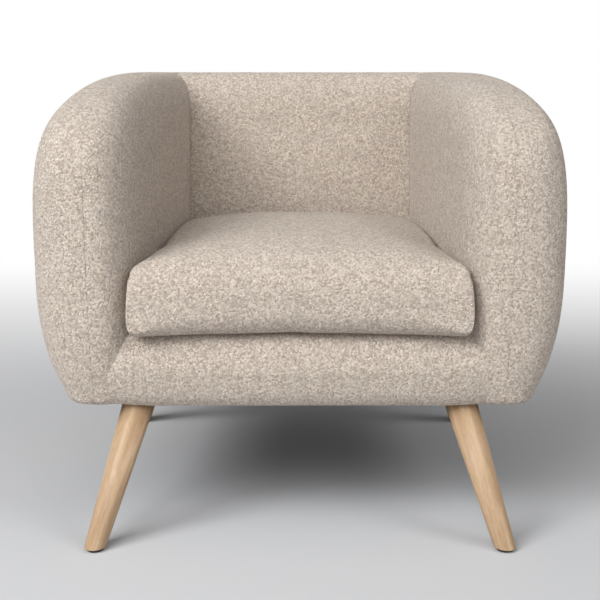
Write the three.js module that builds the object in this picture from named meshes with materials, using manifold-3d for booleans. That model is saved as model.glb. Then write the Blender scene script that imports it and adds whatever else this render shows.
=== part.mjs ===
// Tub chair: a barrel-sided upholstered shell on a timber frame, a loose crowned seat cushion and four
// splayed, tapered legs. Lengths are millimetres. +X is to the right as seen from the front, the front
// faces -Y and +Z is up. Left and right in the names are as seen from the front.
// Setback means distance behind the foremost line of the arms.
import * as THREE from 'three';
import { mergeVertices } from 'three/addons/utils/BufferGeometryUtils.js';
import Module from 'manifold-3d';

const wasm = await Module();
wasm.setup();

// Driving dimensions

const clear = 0.3;
const overrun = 20;

// The upholstered wall that runs round the seat as a U
const wall = {
  inner: 54, // from the crown line in to the seat side
  outer: 96, // from the crown line out to the widest line
  bottom: 207,
  top: 692,
  widest: 400, // height of the widest line of the barrel
  shoulderSquareness: 3.5,
  rollHeight: 90, // how far the rounded top reaches down the seat side
  rollSquareness: 2.4,
  taper: 43, // how far the outside draws in from the widest line to the bottom
  taperPower: 2.46,
  edgeRound: 12,
  turnUnder: 8,
};
const arm = {
  line: 301, // foremost line of an arm, from the middle of the chair
  closing: 42, // how much nearer the middle the arms stand at the back
  noseDepth: 113,
  noseSquareness: 2.62,
  noseTop: 530, // where the upright front line ends and the crown starts back
  crownRun: 550,
  crownSquareness: 2.9,
  frontTaper: 26,
  frontTaperFade: 200,
};
const seat = {
  depth: 512, // setback of the seat back's foot
  backLean: 38,
  sideLean: 4,
  deckHeight: 300,
};
const cover = { thickness: 1.8, seamGap: 0.4, padGap: 0.4 };
const foam = { thickness: 20 };
const frontRail = {
  setback: 4,
  lipDepth: 58,
  lipRise: 20.2, // how far the padded rail stands above the deck's height
  rollDepth: 40,
  rollHeight: 38,
  rollSquareness: 2.2,
};
const dust = { thickness: 0.9, margin: 4 };
const timber = { railDrop: 25, ply: 18, armRail: 30, armRailHeight: 40, topRail: 30, topRailHeight: 60 };
const block = {
  width: 64,
  depth: 76,
  frontSetback: 46,
  rearAdvance: 46, // how far the rear blocks start ahead of the seat back's foot
};
const rails = { front: 32, back: 28, backAdvance: 26, side: 28, eased: 2 };
const ribs = { frontSetback: 70, rearAdvance: 112, backX: 120, crownDrop: 34, slack: 2, topRailReach: 56 };
const leg = {
  frontOutset: 2, // how far the front feet stand outside the arms' crown line
  rearOutset: 18, // and the rear feet
  frontFoot: -8.5, // setback of the front feet, just ahead of the arms
  rearReach: 75, // how far the rear feet stand behind the seat back's foot
  sideSplay: 0.302, // outward run for each millimetre of height
  rakeSplay: 0.385,
  topRadius: 24,
  footRadius: 15.5,
};
const glide = { radius: 12.5, height: 4.5, eased: 1.2, stemRadius: 3, stem: 14 };
const bolt = { radius: 3.9, reach: 34, bore: 4.2, tip: 1.2 };
const spring = {
  count: 4,
  spacing: 100,
  wire: 1.9,
  bar: 26,
  bends: 14,
  rise: 25.4,
  archPower: 3,
  frontHold: 24, // from the front rail's face back to the bar that the clip holds
  rearHold: 8, // and from the back rail's face
};
const clip = { width: 16, plate: 1.5, foot: 7, hookTurn: 0.25 };
const deck = { pad: 12, cloth: 1.5, slack: 1 };
const cushion = {
  front: 2,
  rearGap: 6,
  ease: 1, // how far its sides stand off the tub's inner lines, out at the front and in at the rear
  lift: 20.6, // from the deck's height to the cushion's underside
  thickness: 97.4,
  crown: 20,
  topRound: 30,
  bottomRound: 14,
  bulge: 3,
  drawnIn: 2,
  cornerSquareness: 16,
  cover: 1.8,
  innerShares: [0.8, 0.35], // where its flat faces have rings, as shares of the half-width
};
const zip = { length: 300, width: 6, tape: 1.4, heightShare: 0.466 };
const zipSlider = { length: 10, width: 8, depth: 4 };

// How finely the curved surfaces are divided
const steps = {
  nose: 7,
  noseFoam: 4, // the station where the foam begins to be hollow
  straight: 3,
  corner: 5,
  cornerLead: 2,
  backCorner: 3,
  backHalf: 2,
  roll: 4,
  shoulder: 5,
  edge: 2,
  armRail: 8,
  cushionColumns: 36,
  cushionEdge: 3,
  legSides: 24,
  boltSides: 12,
  glideSides: 20,
  wireSides: 5,
  wirePerBend: 6,
  hook: 6,
};
const lowShares = [0, 0.35, 0.7, 1];
const noseEase = 1.25;
const backTurnShare = 0.25; // how much of the inside back the outer corner's turn takes

const quarterTurn = Math.PI / 2;
const wallWidth = wall.inner + wall.outer;
const crownShare = wall.inner / wallWidth;
const rollFoot = wall.top - wall.rollHeight;
const cornerSetback = seat.depth + seat.backLean;
const backLine = cornerSetback + wallWidth;
const innerFront = arm.line - wall.inner;
const cornerX = innerFront - arm.closing;
const straightAngle = Math.atan(arm.closing / cornerSetback);
const mitreAngle = (quarterTurn + straightAngle) / 2;
const frameTop = seat.deckHeight - timber.railDrop;
const lipTop = seat.deckHeight + frontRail.lipRise;
const cushionBottom = seat.deckHeight + cushion.lift;
const cushionEdge = cushionBottom + cushion.thickness;
const frontFootX = arm.line + leg.frontOutset;
const rearFootX = arm.line + leg.rearOutset;
const rearFoot = seat.depth + leg.rearReach;
const rearBlockSetback = seat.depth - block.rearAdvance;
const backRailSetback = seat.depth - rails.backAdvance;
const rearRibSetback = seat.depth - ribs.rearAdvance;
const springFront = block.frontSetback + spring.frontHold;
const springRear = backRailSetback + spring.rearHold;
const cushionRear = seat.depth - cushion.rearGap;
const cushionFrontHalf = innerFront + cushion.ease;
const cushionRearHalf = cornerX - cushion.ease;
const zipHeight = THREE.MathUtils.lerp(cushionBottom, cushionEdge, zip.heightShare);
const padInset = cover.thickness + cover.padGap;
const cavityInset = padInset + foam.thickness;
const frameInset = cavityInset + clear;
const frameBottom = wall.bottom + cover.thickness + clear;

// Finishes

function finish(color, roughness, metalness = 0) {
  return new THREE.MeshStandardMaterial({ color, roughness, metalness });
}

const finishes = {
  fabric: finish(0xc9b9a9, 0.95),
  foam: finish(0xe6dcc0, 0.9),
  timber: finish(0xc8a878, 0.75),
  oak: finish(0xc6aa8b, 0.5),
  steel: finish(0x9a9da0, 0.35, 1),
  felt: finish(0x7d7a74, 0.95),
  dustCloth: finish(0x1f1f21, 0.9),
  nylon: finish(0x2a2622, 0.55),
};

const chair = new THREE.Group();
const flat = (x, y) => new THREE.Vector2(x, y);
const spot = (x, y, z) => new THREE.Vector3(x, y, z);

function place(name, geometry, material, position = new THREE.Vector3()) {
  const mesh = new THREE.Mesh(geometry, material);
  mesh.name = name;
  mesh.position.copy(position);
  chair.add(mesh);
  return mesh;
}

// Solids

function closedBody(points, faces) {
  let volume = 0;
  const edge = new THREE.Vector3();
  for (const [a, b, c] of faces) {
    volume += points[a].dot(edge.crossVectors(points[b], points[c]));
  }
  const outward = volume > 0 ? faces : faces.map(([a, b, c]) => [a, c, b]);
  const geometry = new THREE.BufferGeometry();
  geometry.setFromPoints(points);
  geometry.setIndex(outward.flat());
  return geometry;
}

function toSolid(geometry) {
  const bare = geometry.clone();
  bare.deleteAttribute('normal');
  bare.deleteAttribute('uv');
  const merged = mergeVertices(bare);
  const vertProperties = Float32Array.from(merged.attributes.position.array);
  const triVerts = Uint32Array.from(merged.index.array);
  return new wasm.Manifold(new wasm.Mesh({ numProp: 3, vertProperties, triVerts }));
}

function toGeometry(solid) {
  const mesh = solid.getMesh();
  const geometry = new THREE.BufferGeometry();
  const positions = Float32Array.from(mesh.vertProperties);
  geometry.setAttribute('position', new THREE.BufferAttribute(positions, mesh.numProp));
  geometry.setIndex(new THREE.BufferAttribute(Uint32Array.from(mesh.triVerts), 1));
  return geometry;
}

function join(geometry, other) {
  return toGeometry(toSolid(geometry).add(toSolid(other)));
}

function cut(geometry, ...tools) {
  let solid = toSolid(geometry);
  for (const tool of tools) {
    solid = solid.subtract(toSolid(tool));
  }
  return toGeometry(solid);
}

// A copy mirrored across the chair's middle plane, or left as it is when the sign is positive
function flipped(geometry, sign) {
  const copy = geometry.clone();
  if (sign > 0) {
    return copy;
  }
  copy.scale(-1, 1, 1);
  const index = Array.from(copy.index ? copy.index.array : copy.attributes.position.array.keys());
  const corners = index.slice(0, copy.index ? index.length : copy.attributes.position.count);
  copy.setIndex(corners.reverse());
  return copy;
}

function box(x0, x1, y0, y1, z0, z1) {
  const geometry = new THREE.BoxGeometry(x1 - x0, y1 - y0, z1 - z0);
  geometry.translate((x0 + x1) / 2, (y0 + y1) / 2, (z0 + z1) / 2);
  return geometry;
}

function quadFaces(a, b, c, d) {
  return [[a, b, c], [a, c, d]];
}

// The end of a loft, as a strip that climbs both sides of its ring at once
function endStrip(ring, offset) {
  const faces = [];
  let near = 0;
  let far = ring.length - 1;
  while (far - near > 1) {
    if (ring[near + 1].z <= ring[far - 1].z) {
      faces.push([offset + near, offset + near + 1, offset + far]);
      near += 1;
    } else {
      faces.push([offset + near, offset + far - 1, offset + far]);
      far -= 1;
    }
  }
  return faces;
}

function bandFaces(rings) {
  const count = rings[0].length;
  const faces = [];
  for (let i = 0; i + 1 < rings.length; i += 1) {
    for (let j = 0; j < count; j += 1) {
      const next = (j + 1) % count;
      faces.push(...quadFaces(i * count + j, i * count + next, (i + 1) * count + next, (i + 1) * count + j));
    }
  }
  return faces;
}

// A closed body through rings of points, each of which starts and ends at its foot
function loft(rings) {
  const last = (rings.length - 1) * rings[0].length;
  const faces = bandFaces(rings);
  faces.push(...endStrip(rings[0], 0).map(([a, b, c]) => [a, c, b]));
  faces.push(...endStrip(rings.at(-1), last));
  return closedBody(rings.flat(), faces);
}

// A closed body through rings that close on a middle point at either end
function cappedRings(rings) {
  const count = rings[0].length;
  const points = rings.flat();
  const faces = bandFaces(rings);
  const middle = (ring) => ring.reduce((sum, p) => sum.add(p), spot(0, 0, 0)).divideScalar(count);
  const last = (rings.length - 1) * count;
  const first = points.push(middle(rings[0])) - 1;
  const end = points.push(middle(rings.at(-1))) - 1;
  for (let j = 0; j < count; j += 1) {
    const next = (j + 1) % count;
    faces.push([first, next, j]);
    faces.push([end, last + j, last + next]);
  }
  return closedBody(points, faces);
}

// A thin closed sheet between two grids of points, walled round its four edges.
function sheet(outside, inside) {
  const rows = outside.length;
  const columns = outside[0].length;
  const points = [...outside.flat(), ...inside.flat()];
  const outer = (i, j) => i * columns + j;
  const inner = (i, j) => (rows + i) * columns + j;
  const faces = [];
  for (let i = 0; i + 1 < rows; i += 1) {
    for (let j = 0; j + 1 < columns; j += 1) {
      faces.push(...quadFaces(outer(i, j), outer(i, j + 1), outer(i + 1, j + 1), outer(i + 1, j)));
      faces.push([inner(i, j), inner(i + 1, j + 1), inner(i, j + 1)]);
      faces.push([inner(i, j), inner(i + 1, j), inner(i + 1, j + 1)]);
    }
    const end = columns - 1;
    faces.push(...quadFaces(outer(i, 0), outer(i + 1, 0), inner(i + 1, 0), inner(i, 0)));
    faces.push(...quadFaces(outer(i + 1, end), outer(i, end), inner(i, end), inner(i + 1, end)));
  }
  for (let j = 0; j + 1 < columns; j += 1) {
    const end = rows - 1;
    faces.push(...quadFaces(outer(0, j + 1), outer(0, j), inner(0, j), inner(0, j + 1)));
    faces.push(...quadFaces(outer(end, j), outer(end, j + 1), inner(end, j + 1), inner(end, j)));
  }
  return closedBody(points, faces);
}

// Extrusions whose outline is drawn in one of the chair's own planes

function sideProfile(outline, width) {
  const geometry = new THREE.ExtrudeGeometry(new THREE.Shape(outline), { depth: width, bevelEnabled: false });
  const axes = new THREE.Matrix4();
  axes.makeBasis(new THREE.Vector3(0, 1, 0), new THREE.Vector3(0, 0, 1), new THREE.Vector3(1, 0, 0));
  geometry.applyMatrix4(axes);
  geometry.translate(-width / 2, 0, 0);
  return geometry;
}

function frontProfile(outline, depth) {
  const geometry = new THREE.ExtrudeGeometry(new THREE.Shape(outline), { depth, bevelEnabled: false });
  const axes = new THREE.Matrix4();
  axes.makeBasis(new THREE.Vector3(1, 0, 0), new THREE.Vector3(0, 0, 1), new THREE.Vector3(0, -1, 0));
  geometry.applyMatrix4(axes);
  geometry.translate(0, depth, 0);
  return geometry;
}

function planProfile(outline, height) {
  return new THREE.ExtrudeGeometry(new THREE.Shape(outline), { depth: height, bevelEnabled: false });
}

// The shares of two half-widths that a rounded quarter outline has at a given turn
function roundShares(turn, squareness) {
  const along = Math.max(Math.cos(turn), 0) ** (2 / squareness);
  const up = Math.max(Math.sin(turn), 0) ** (2 / squareness);
  return [along, up];
}

function inset2d(points, distance) {
  return points.map((point, i) => {
    const before = points[Math.max(i - 1, 0)];
    const after = points[Math.min(i + 1, points.length - 1)];
    const into = point.clone().sub(before).normalize();
    const out = after.clone().sub(point).normalize();
    const along = into.clone().add(out).normalize();
    const lengthen = 1 / Math.max(Math.sqrt((1 + into.dot(out)) / 2), 1 / 2);
    const reach = i === 0 || i === points.length - 1 ? distance : distance * lengthen;
    return flat(point.x - along.y * reach, point.y + along.x * reach);
  });
}

// The wall of the tub: stations along its U, each a vertical section from the seat side over to the outside

const crownHeight = (setback) => {
  const share = Math.min(Math.max(setback / arm.crownRun, 0), 1);
  const fall = (1 - (1 - share) ** arm.crownSquareness) ** (1 / arm.crownSquareness);
  return arm.noseTop + (wall.top - arm.noseTop) * fall;
};

function station(innerShare, outerPoint, swell, height, along) {
  const topPoint = flat(innerFront - arm.closing * innerShare, cornerSetback * innerShare);
  const lowPoint = flat(topPoint.x + seat.sideLean * innerShare, seat.depth * innerShare);
  return { topPoint, lowPoint, outerPoint, swell, height, along };
}

function armStationAt(setback, swell) {
  const share = setback / cornerSetback;
  const outerPoint = flat(innerFront + wallWidth - arm.closing * share, setback);
  return station(share, outerPoint, swell, crownHeight(setback), flat(0, 1));
}

function noseStation(turn) {
  const [left, swell] = roundShares(turn, arm.noseSquareness);
  return armStationAt(arm.noseDepth * (1 - left), swell);
}

const straightEnd = cornerSetback - wall.outer * Math.SQRT2;

function cornerPoint(angle) {
  return flat(cornerX + wallWidth * Math.cos(angle), cornerSetback + wallWidth * Math.sin(angle));
}

function armStations() {
  const list = [];
  for (let i = 0; i <= steps.nose; i += 1) {
    list.push(noseStation(quarterTurn * (i / steps.nose) ** noseEase));
  }
  for (let i = 1; i <= steps.straight; i += 1) {
    list.push(armStationAt(THREE.MathUtils.lerp(arm.noseDepth, straightEnd, i / steps.straight), 1));
  }
  const innerStart = straightEnd / cornerSetback;
  const lead = armStationAt(straightEnd, 1).outerPoint;
  for (let i = 1; i <= steps.corner; i += 1) {
    const share = i / steps.corner;
    const fan = Math.max(i - steps.cornerLead, 0) / (steps.corner - steps.cornerLead);
    const angle = THREE.MathUtils.lerp(straightAngle, mitreAngle, fan);
    const turning = i / steps.cornerLead;
    const turned = cornerPoint(turning < 1 ? straightAngle : angle);
    const outerPoint = turning < 1 ? lead.clone().lerp(turned, turning) : turned;
    const path = flat(-Math.sin(angle), Math.cos(angle));
    const innerShare = THREE.MathUtils.lerp(innerStart, 1, share);
    list.push(station(innerShare, outerPoint, 1, crownHeight(cornerSetback * innerShare), path));
  }
  return list;
}

function backStation(innerX, outerPoint, path) {
  const topPoint = flat(innerX, cornerSetback);
  const lowPoint = flat(innerX * (cornerX + seat.sideLean) / cornerX, seat.depth);
  return { topPoint, lowPoint, outerPoint, swell: 1, height: wall.top, along: path };
}

function backStations() {
  const half = [];
  for (let i = 0; i <= steps.backCorner; i += 1) {
    const angle = THREE.MathUtils.lerp(mitreAngle, quarterTurn, i / steps.backCorner);
    const innerX = cornerX * (1 - backTurnShare * i / steps.backCorner);
    half.push(backStation(innerX, cornerPoint(angle), flat(-Math.sin(angle), Math.cos(angle))));
  }
  for (let i = 1; i <= steps.backHalf; i += 1) {
    const left = 1 - i / steps.backHalf;
    half.push(backStation(cornerX * (1 - backTurnShare) * left, flat(cornerX * left, backLine), flat(-1, 0)));
  }
  return [...half, ...mirroredStations(half.slice(0, -1))];
}

function mirroredStations(list) {
  return [...list].reverse().map((at) => ({
    ...at,
    topPoint: flat(-at.topPoint.x, at.topPoint.y),
    lowPoint: flat(-at.lowPoint.x, at.lowPoint.y),
    outerPoint: flat(-at.outerPoint.x, at.outerPoint.y),
    along: flat(at.along.x, -at.along.y),
  }));
}

function lowerDraw(z) {
  const share = Math.max(0, (wall.widest - z) / (wall.widest - wall.bottom));
  return share ** wall.taperPower;
}

// Rows of one station's section: up the seat side, over the crown and down the outside
function sectionRows(at) {
  const crown = at.topPoint.clone().lerp(at.outerPoint, crownShare);
  const low = wall.bottom + wall.edgeRound;
  const rollStart = at.height - wall.rollHeight;
  const fade = Math.max(0, 1 - Math.min(at.topPoint.y, crown.y) / arm.frontTaperFade);
  const settle = (plan, z) => new THREE.Vector3(plan.x, plan.y + arm.frontTaper * lowerDraw(z) * fade, z);
  const innerAt = (z, share) => {
    const lean = Math.min((z - seat.deckHeight) / (rollFoot - seat.deckHeight), 1);
    const face = at.lowPoint.clone().lerp(at.topPoint, lean);
    return settle(crown.clone().lerp(face, at.swell * share), z);
  };
  const outerAt = (z, share) => settle(crown.clone().lerp(at.outerPoint, at.swell * share), z);
  const rows = [];
  for (const share of lowShares) {
    rows.push(innerAt(THREE.MathUtils.lerp(low, wall.widest, share), 1));
  }
  for (let i = 0; i <= steps.roll; i += 1) {
    const [across, up] = roundShares(quarterTurn * i / steps.roll, wall.rollSquareness);
    rows.push(innerAt(rollStart + wall.rollHeight * up, across));
  }
  for (let i = 1; i <= steps.shoulder; i += 1) {
    const [up, across] = roundShares(quarterTurn * i / steps.shoulder, wall.shoulderSquareness);
    rows.push(outerAt(wall.widest + (at.height - wall.widest) * up, across));
  }
  for (const share of [...lowShares].reverse().slice(1)) {
    const z = THREE.MathUtils.lerp(low, wall.widest, share);
    rows.push(outerAt(z, 1 - (wall.taper / wall.outer) * lowerDraw(z)));
  }
  return rows;
}

const crownRow = lowShares.length + steps.roll;

function surfaceNormals(grid) {
  const rows = grid.length;
  const columns = grid[0].length;
  const normals = grid.map((row) => row.map(() => new THREE.Vector3()));
  for (let i = 0; i + 1 < rows; i += 1) {
    for (let j = 0; j + 1 < columns; j += 1) {
      const across = grid[i + 1][j + 1].clone().sub(grid[i][j]);
      const other = grid[i][j + 1].clone().sub(grid[i + 1][j]);
      const normal = other.cross(across).normalize();
      for (const [a, b] of [[i, j], [i + 1, j], [i, j + 1], [i + 1, j + 1]]) {
        normals[a][b].add(normal);
      }
    }
  }
  return normals.map((row) => row.map((normal) => normal.normalize()));
}

// The whole U as one surface, and the runs of it that each part of the upholstery takes: its stations, its
// grid of points and which way each point faces
function wallSurfaces() {
  const armRun = armStations();
  const backRun = backStations();
  const stations = [...armRun, ...backRun.slice(1), ...mirroredStations(armRun.slice(0, -1))];
  const grid = stations.map(sectionRows);
  const normals = surfaceNormals(grid);
  for (const foremost of [normals[0], normals.at(-1)]) {
    foremost.forEach((normal) => normal.setX(0).normalize());
  }
  // At a mitre the surface is set in within the mitre's own plane, so that its two sides still meet.
  const mitre = armRun.length - 1;
  const otherMitre = mitre + backRun.length - 1;
  for (const i of [mitre, otherMitre]) {
    const along = spot(stations[i].along.x, stations[i].along.y, 0);
    normals[i].forEach((normal) => normal.addScaledVector(along, -normal.dot(along)).normalize());
  }
  const run = (from, to) => ({
    stations: stations.slice(from, to + 1),
    grid: grid.slice(from, to + 1),
    normals: normals.slice(from, to + 1),
  });
  return [run(0, mitre), run(mitre, otherMitre)];
}

const inset = (point, normal, distance) => point.clone().addScaledVector(normal, -distance);

// The rounded bottom edge below a surface point
function edgeRows(point, normal, distance) {
  const level = normal.clone().setZ(0).normalize();
  const round = wall.edgeRound - distance;
  const rows = [];
  for (let i = 1; i <= steps.edge; i += 1) {
    const turn = quarterTurn * i / steps.edge;
    const back = distance + round * (1 - Math.cos(turn));
    const z = wall.bottom + wall.edgeRound - round * Math.sin(turn);
    rows.push(point.clone().addScaledVector(level, -back).setZ(z));
  }
  return rows;
}

// The same edge with the strip of the cover that is turned under the frame
function turnedRows(point, normal, distance) {
  const level = normal.clone().setZ(0).normalize();
  const end = point.clone().addScaledVector(level, -wall.edgeRound - wall.turnUnder);
  return [...edgeRows(point, normal, distance), end.setZ(wall.bottom + distance)];
}

// A loft through whole sections of the wall, set in from its surface. It drops straight to a given height,
// or with none given it is rounded under as the covers are.
function wallBody(surface, distance, first, runOn, drop) {
  const rings = surface.grid.slice(first).map((row, k) => {
    const normals = surface.normals[first + k];
    const ring = row.map((point, j) => inset(point, normals[j], distance));
    if (drop !== undefined) {
      return [ring[0].clone().setZ(drop), ...ring, ring.at(-1).clone().setZ(drop)];
    }
    const seatSide = edgeRows(row[0], normals[0], distance).reverse();
    return [...seatSide, ...ring, ...edgeRows(row.at(-1), normals.at(-1), distance)];
  });
  const moved = (ring, here, distanceAlong) => ring.map((p) => p.clone().add(
    spot(here.along.x, here.along.y, 0).multiplyScalar(distanceAlong),
  ));
  // An end that runs on gets a ring of its own, and one that is trimmed moves back.
  const before = moved(rings[0], surface.stations[first], -runOn.start);
  const after = moved(rings.at(-1), surface.stations.at(-1), runOn.end);
  const whole = [before, ...rings.slice(runOn.start > 0 ? 0 : 1, runOn.end > 0 ? rings.length : -1), after];
  return loft(whole);
}

// One covering panel: some of the section's columns, trimmed a little where it meets its neighbours
function coverPanel(surface, part, trim) {
  const isIncluded = (j) => (part === 'inside' ? j <= crownRow : j >= crownRow);
  const columns = surface.grid[0].map((_, j) => j).filter(isIncluded);
  const sideways = part === 'inside' ? -1 : 1;
  const build = (distance) => surface.grid.map((row, i) => {
    const normals = surface.normals[i];
    const at = surface.stations[i];
    const outward = at.outerPoint.clone().sub(at.topPoint).normalize();
    const points = columns.map((j) => inset(row[j], normals[j], distance));
    const foot = part === 'inside' ? 0 : row.length - 1;
    const edge = turnedRows(row[foot], normals[foot], distance);
    const crownEnd = part === 'inside' ? points.at(-1) : points[0];
    crownEnd.x += sideways * outward.x * cover.seamGap / 2;
    crownEnd.y += sideways * outward.y * cover.seamGap / 2;
    return part === 'inside' ? [...edge.reverse(), ...points] : [...points, ...edge];
  });
  const trimEnds = (grid) => {
    const move = (row, direction, amount) => row.forEach((p) => {
      p.x += direction.x * amount;
      p.y += direction.y * amount;
    });
    if (trim.nose) {
      move(grid[0], flat(sideways, 0), cover.seamGap / 2);
    }
    if (trim.start) {
      move(grid[0], surface.stations[0].along, cover.seamGap / 2);
    }
    if (trim.end) {
      move(grid.at(-1), surface.stations.at(-1).along, -cover.seamGap / 2);
    }
    return grid;
  };
  return sheet(trimEnds(build(0)), trimEnds(build(cover.thickness)));
}

// Frame pieces that the upholstery is cut round

function legTopAt(x, foot, rake) {
  return flat(x - leg.sideSplay * frameBottom, foot + rake * leg.rakeSplay * frameBottom);
}

const frontLegTop = legTopAt(frontFootX, leg.frontFoot, 1);
const rearLegTop = legTopAt(rearFootX, rearFoot, -1);
const frontBlockX = frontLegTop.x;
const rearBlockX = rearLegTop.x;
const sideRailOuter = frontBlockX + block.width / 2;
const sideRailX = sideRailOuter - rails.side / 2;
const seatSpaceHalf = rearBlockX + block.width / 2 + clear;
const backRibFront = backRailSetback + rails.back + clear;
const backInnerWall = cornerSetback + cavityInset;
const seatSpace = box(
  -seatSpaceHalf, seatSpaceHalf,
  block.frontSetback - clear, backInnerWall + clear,
  -overrun, frameTop + clear,
);

const legLength = frameBottom / Math.cos(Math.atan(Math.hypot(leg.sideSplay, leg.rakeSplay)));
const legAxis = (rake) => new THREE.Vector3(-leg.sideSplay, rake * leg.rakeSplay, 1).normalize();
const upright = new THREE.Vector3(0, 1, 0);

function tilted(geometry, rake) {
  geometry.applyQuaternion(new THREE.Quaternion().setFromUnitVectors(upright, legAxis(rake)));
  return geometry;
}

function legCone(grown) {
  const growth = (leg.topRadius - leg.footRadius) / legLength;
  const foot = leg.footRadius - growth * overrun + grown;
  const top = leg.topRadius + growth * overrun + grown;
  const end = legLength + overrun;
  const profile = [flat(0, -overrun), flat(foot, -overrun), flat(top, end), flat(0, end)];
  return new THREE.LatheGeometry(profile, steps.legSides);
}

function axisRod(radius, from, to, tip) {
  const profile = [flat(0, from), flat(radius - tip, from), flat(radius, from + tip), flat(radius, to - tip),
    flat(radius - tip, to), flat(0, to)];
  return new THREE.LatheGeometry(profile, steps.boltSides);
}

// Upholstery of the arms and the back

const [armSurface, backSurface] = wallSurfaces();
const armTool = wallBody(armSurface, -clear, 1, { start: 0, end: 0 }, wall.bottom - overrun);

function addArm(side, sign) {
  const body = wallBody(armSurface, padInset, 1, { start: 0, end: -cover.seamGap / 2 });
  const runOn = { start: 0, end: overrun };
  const hollow = wallBody(armSurface, cavityInset, steps.noseFoam, runOn, wall.bottom - overrun);
  place(`${side}_arm_padding`, flipped(cut(body, hollow, seatSpace), sign), finishes.foam);
  const inside = cut(coverPanel(armSurface, 'inside', { nose: true, end: true }), seatSpace);
  place(`${side}_arm_inside_cover`, flipped(inside, sign), finishes.fabric);
  const outside = coverPanel(armSurface, 'outside', { nose: true, end: true });
  place(`${side}_arm_outside_cover`, flipped(outside, sign), finishes.fabric);
}

function addBack() {
  const body = wallBody(backSurface, padInset, 0, { start: -cover.seamGap / 2, end: -cover.seamGap / 2 });
  const runOn = { start: overrun, end: overrun };
  const hollow = wallBody(backSurface, cavityInset, 0, runOn, wall.bottom - overrun);
  place('back_padding', cut(body, hollow, seatSpace), finishes.foam);
  const inside = cut(coverPanel(backSurface, 'inside', { start: true, end: true }), seatSpace);
  place('inside_back_cover', inside, finishes.fabric);
  const outside = coverPanel(backSurface, 'outside', { start: true, end: true });
  place('outside_back_cover', outside, finishes.fabric);
}

// The padded front rail below the seat, cut to the arms where they meet

const railFace = (z) => frontRail.setback + arm.frontTaper * lowerDraw(z);

function frontRailOutline() {
  const faceTop = lipTop - frontRail.rollHeight;
  const low = wall.bottom + wall.edgeRound;
  const points = [flat(frontRail.setback + frontRail.lipDepth, lipTop)];
  for (let i = 0; i <= steps.roll; i += 1) {
    const [back, up] = roundShares(quarterTurn * (1 - i / steps.roll), frontRail.rollSquareness);
    const z = faceTop + frontRail.rollHeight * up;
    points.push(flat(railFace(z) + frontRail.rollDepth * (1 - back), z));
  }
  for (let i = 1; i <= steps.edge; i += 1) {
    const z = THREE.MathUtils.lerp(faceTop, low, i / steps.edge);
    points.push(flat(railFace(z), z));
  }
  const foot = points.at(-1);
  for (let i = 1; i <= steps.edge; i += 1) {
    const turn = quarterTurn * i / steps.edge;
    points.push(flat(foot.x + wall.edgeRound * (1 - Math.cos(turn)), low - wall.edgeRound * Math.sin(turn)));
  }
  points.push(flat(foot.x + wall.edgeRound + wall.turnUnder, wall.bottom));
  return points;
}

function addFrontRail() {
  const outline = frontRailOutline();
  const across = 2 * arm.line;
  const otherArm = flipped(armTool, -1);
  const legRoom = [1, -1].map((sign) => flipped(placedLegCone(frontFootX, leg.frontFoot, 1, clear), sign));
  const inner = inset2d(outline, cover.thickness);
  const skin = sideProfile([...outline, ...inner.reverse()], across);
  place('front_rail_cover', cut(skin, armTool, otherArm, ...legRoom), finishes.fabric);
  const padded = inset2d(outline, padInset);
  const lip = padded[0];
  const railTop = frameTop + clear;
  const behind = [
    flat(padded.at(-1).x, padded.at(-1).y),
    flat(block.frontSetback - clear, padded.at(-1).y),
    flat(block.frontSetback - clear, railTop),
    flat(lip.x, railTop),
  ];
  const body = sideProfile([...padded.slice(0, -1), ...behind.slice(1)], across);
  place('front_rail_padding', cut(body, armTool, otherArm, ...legRoom), finishes.foam);
}

function placedLegCone(x, foot, rake, grown) {
  const cone = tilted(legCone(grown), rake);
  cone.translate(x, foot, 0);
  return cone;
}

// The cloth that closes the underside, its edge just inside the rounded edge of the covers
function addDustCover() {
  const reach = wall.edgeRound + dust.margin;
  const front = railFace(wall.bottom + wall.edgeRound) + reach;
  const edgePoint = (surface, i) => {
    const point = surface.grid[i].at(-1);
    const level = surface.normals[i].at(-1).clone().setZ(0).normalize();
    return flat(point.x - level.x * reach, point.y - level.y * reach);
  };
  const armEdge = armSurface.grid.map((_, i) => edgePoint(armSurface, i)).filter((p) => p.y > front);
  const backEdge = backSurface.grid.map((_, i) => edgePoint(backSurface, i)).slice(1, -1);
  const corner = flat(armEdge[0].x, front);
  const rightEdge = [corner, ...armEdge];
  const leftEdge = [...rightEdge].reverse().map((p) => flat(-p.x, p.y));
  const cloth = planProfile([...rightEdge, ...backEdge, ...leftEdge], dust.thickness);
  cloth.translate(0, 0, wall.bottom - clear - dust.thickness);
  const holes = [1, -1].flatMap((sign) => [
    flipped(placedLegCone(frontFootX, leg.frontFoot, 1, clear), sign),
    flipped(placedLegCone(rearFootX, rearFoot, -1, clear), sign),
  ]);
  place('dust_cover', cut(cloth, ...holes), finishes.dustCloth);
}

// Timber

// A rectangle with its corners taken off, as every board and block has its edges eased
function easedOutline(width, height) {
  const e = rails.eased;
  const lower = [flat(0, e), flat(e, 0), flat(width - e, 0), flat(width, e)];
  const upper = [flat(width, height - e), flat(width - e, height), flat(e, height), flat(0, height - e)];
  return [...lower, ...upper];
}

const railHeight = frameTop - frameBottom;

function legBlock(top, x0, y0, rake) {
  const body = planProfile(easedOutline(block.width, block.depth), railHeight);
  const bore = tilted(axisRod(bolt.bore, -bolt.reach, bolt.reach + clear, bolt.tip), rake);
  bore.translate(top.x - x0, top.y - y0, 0);
  return cut(body, bore);
}

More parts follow.
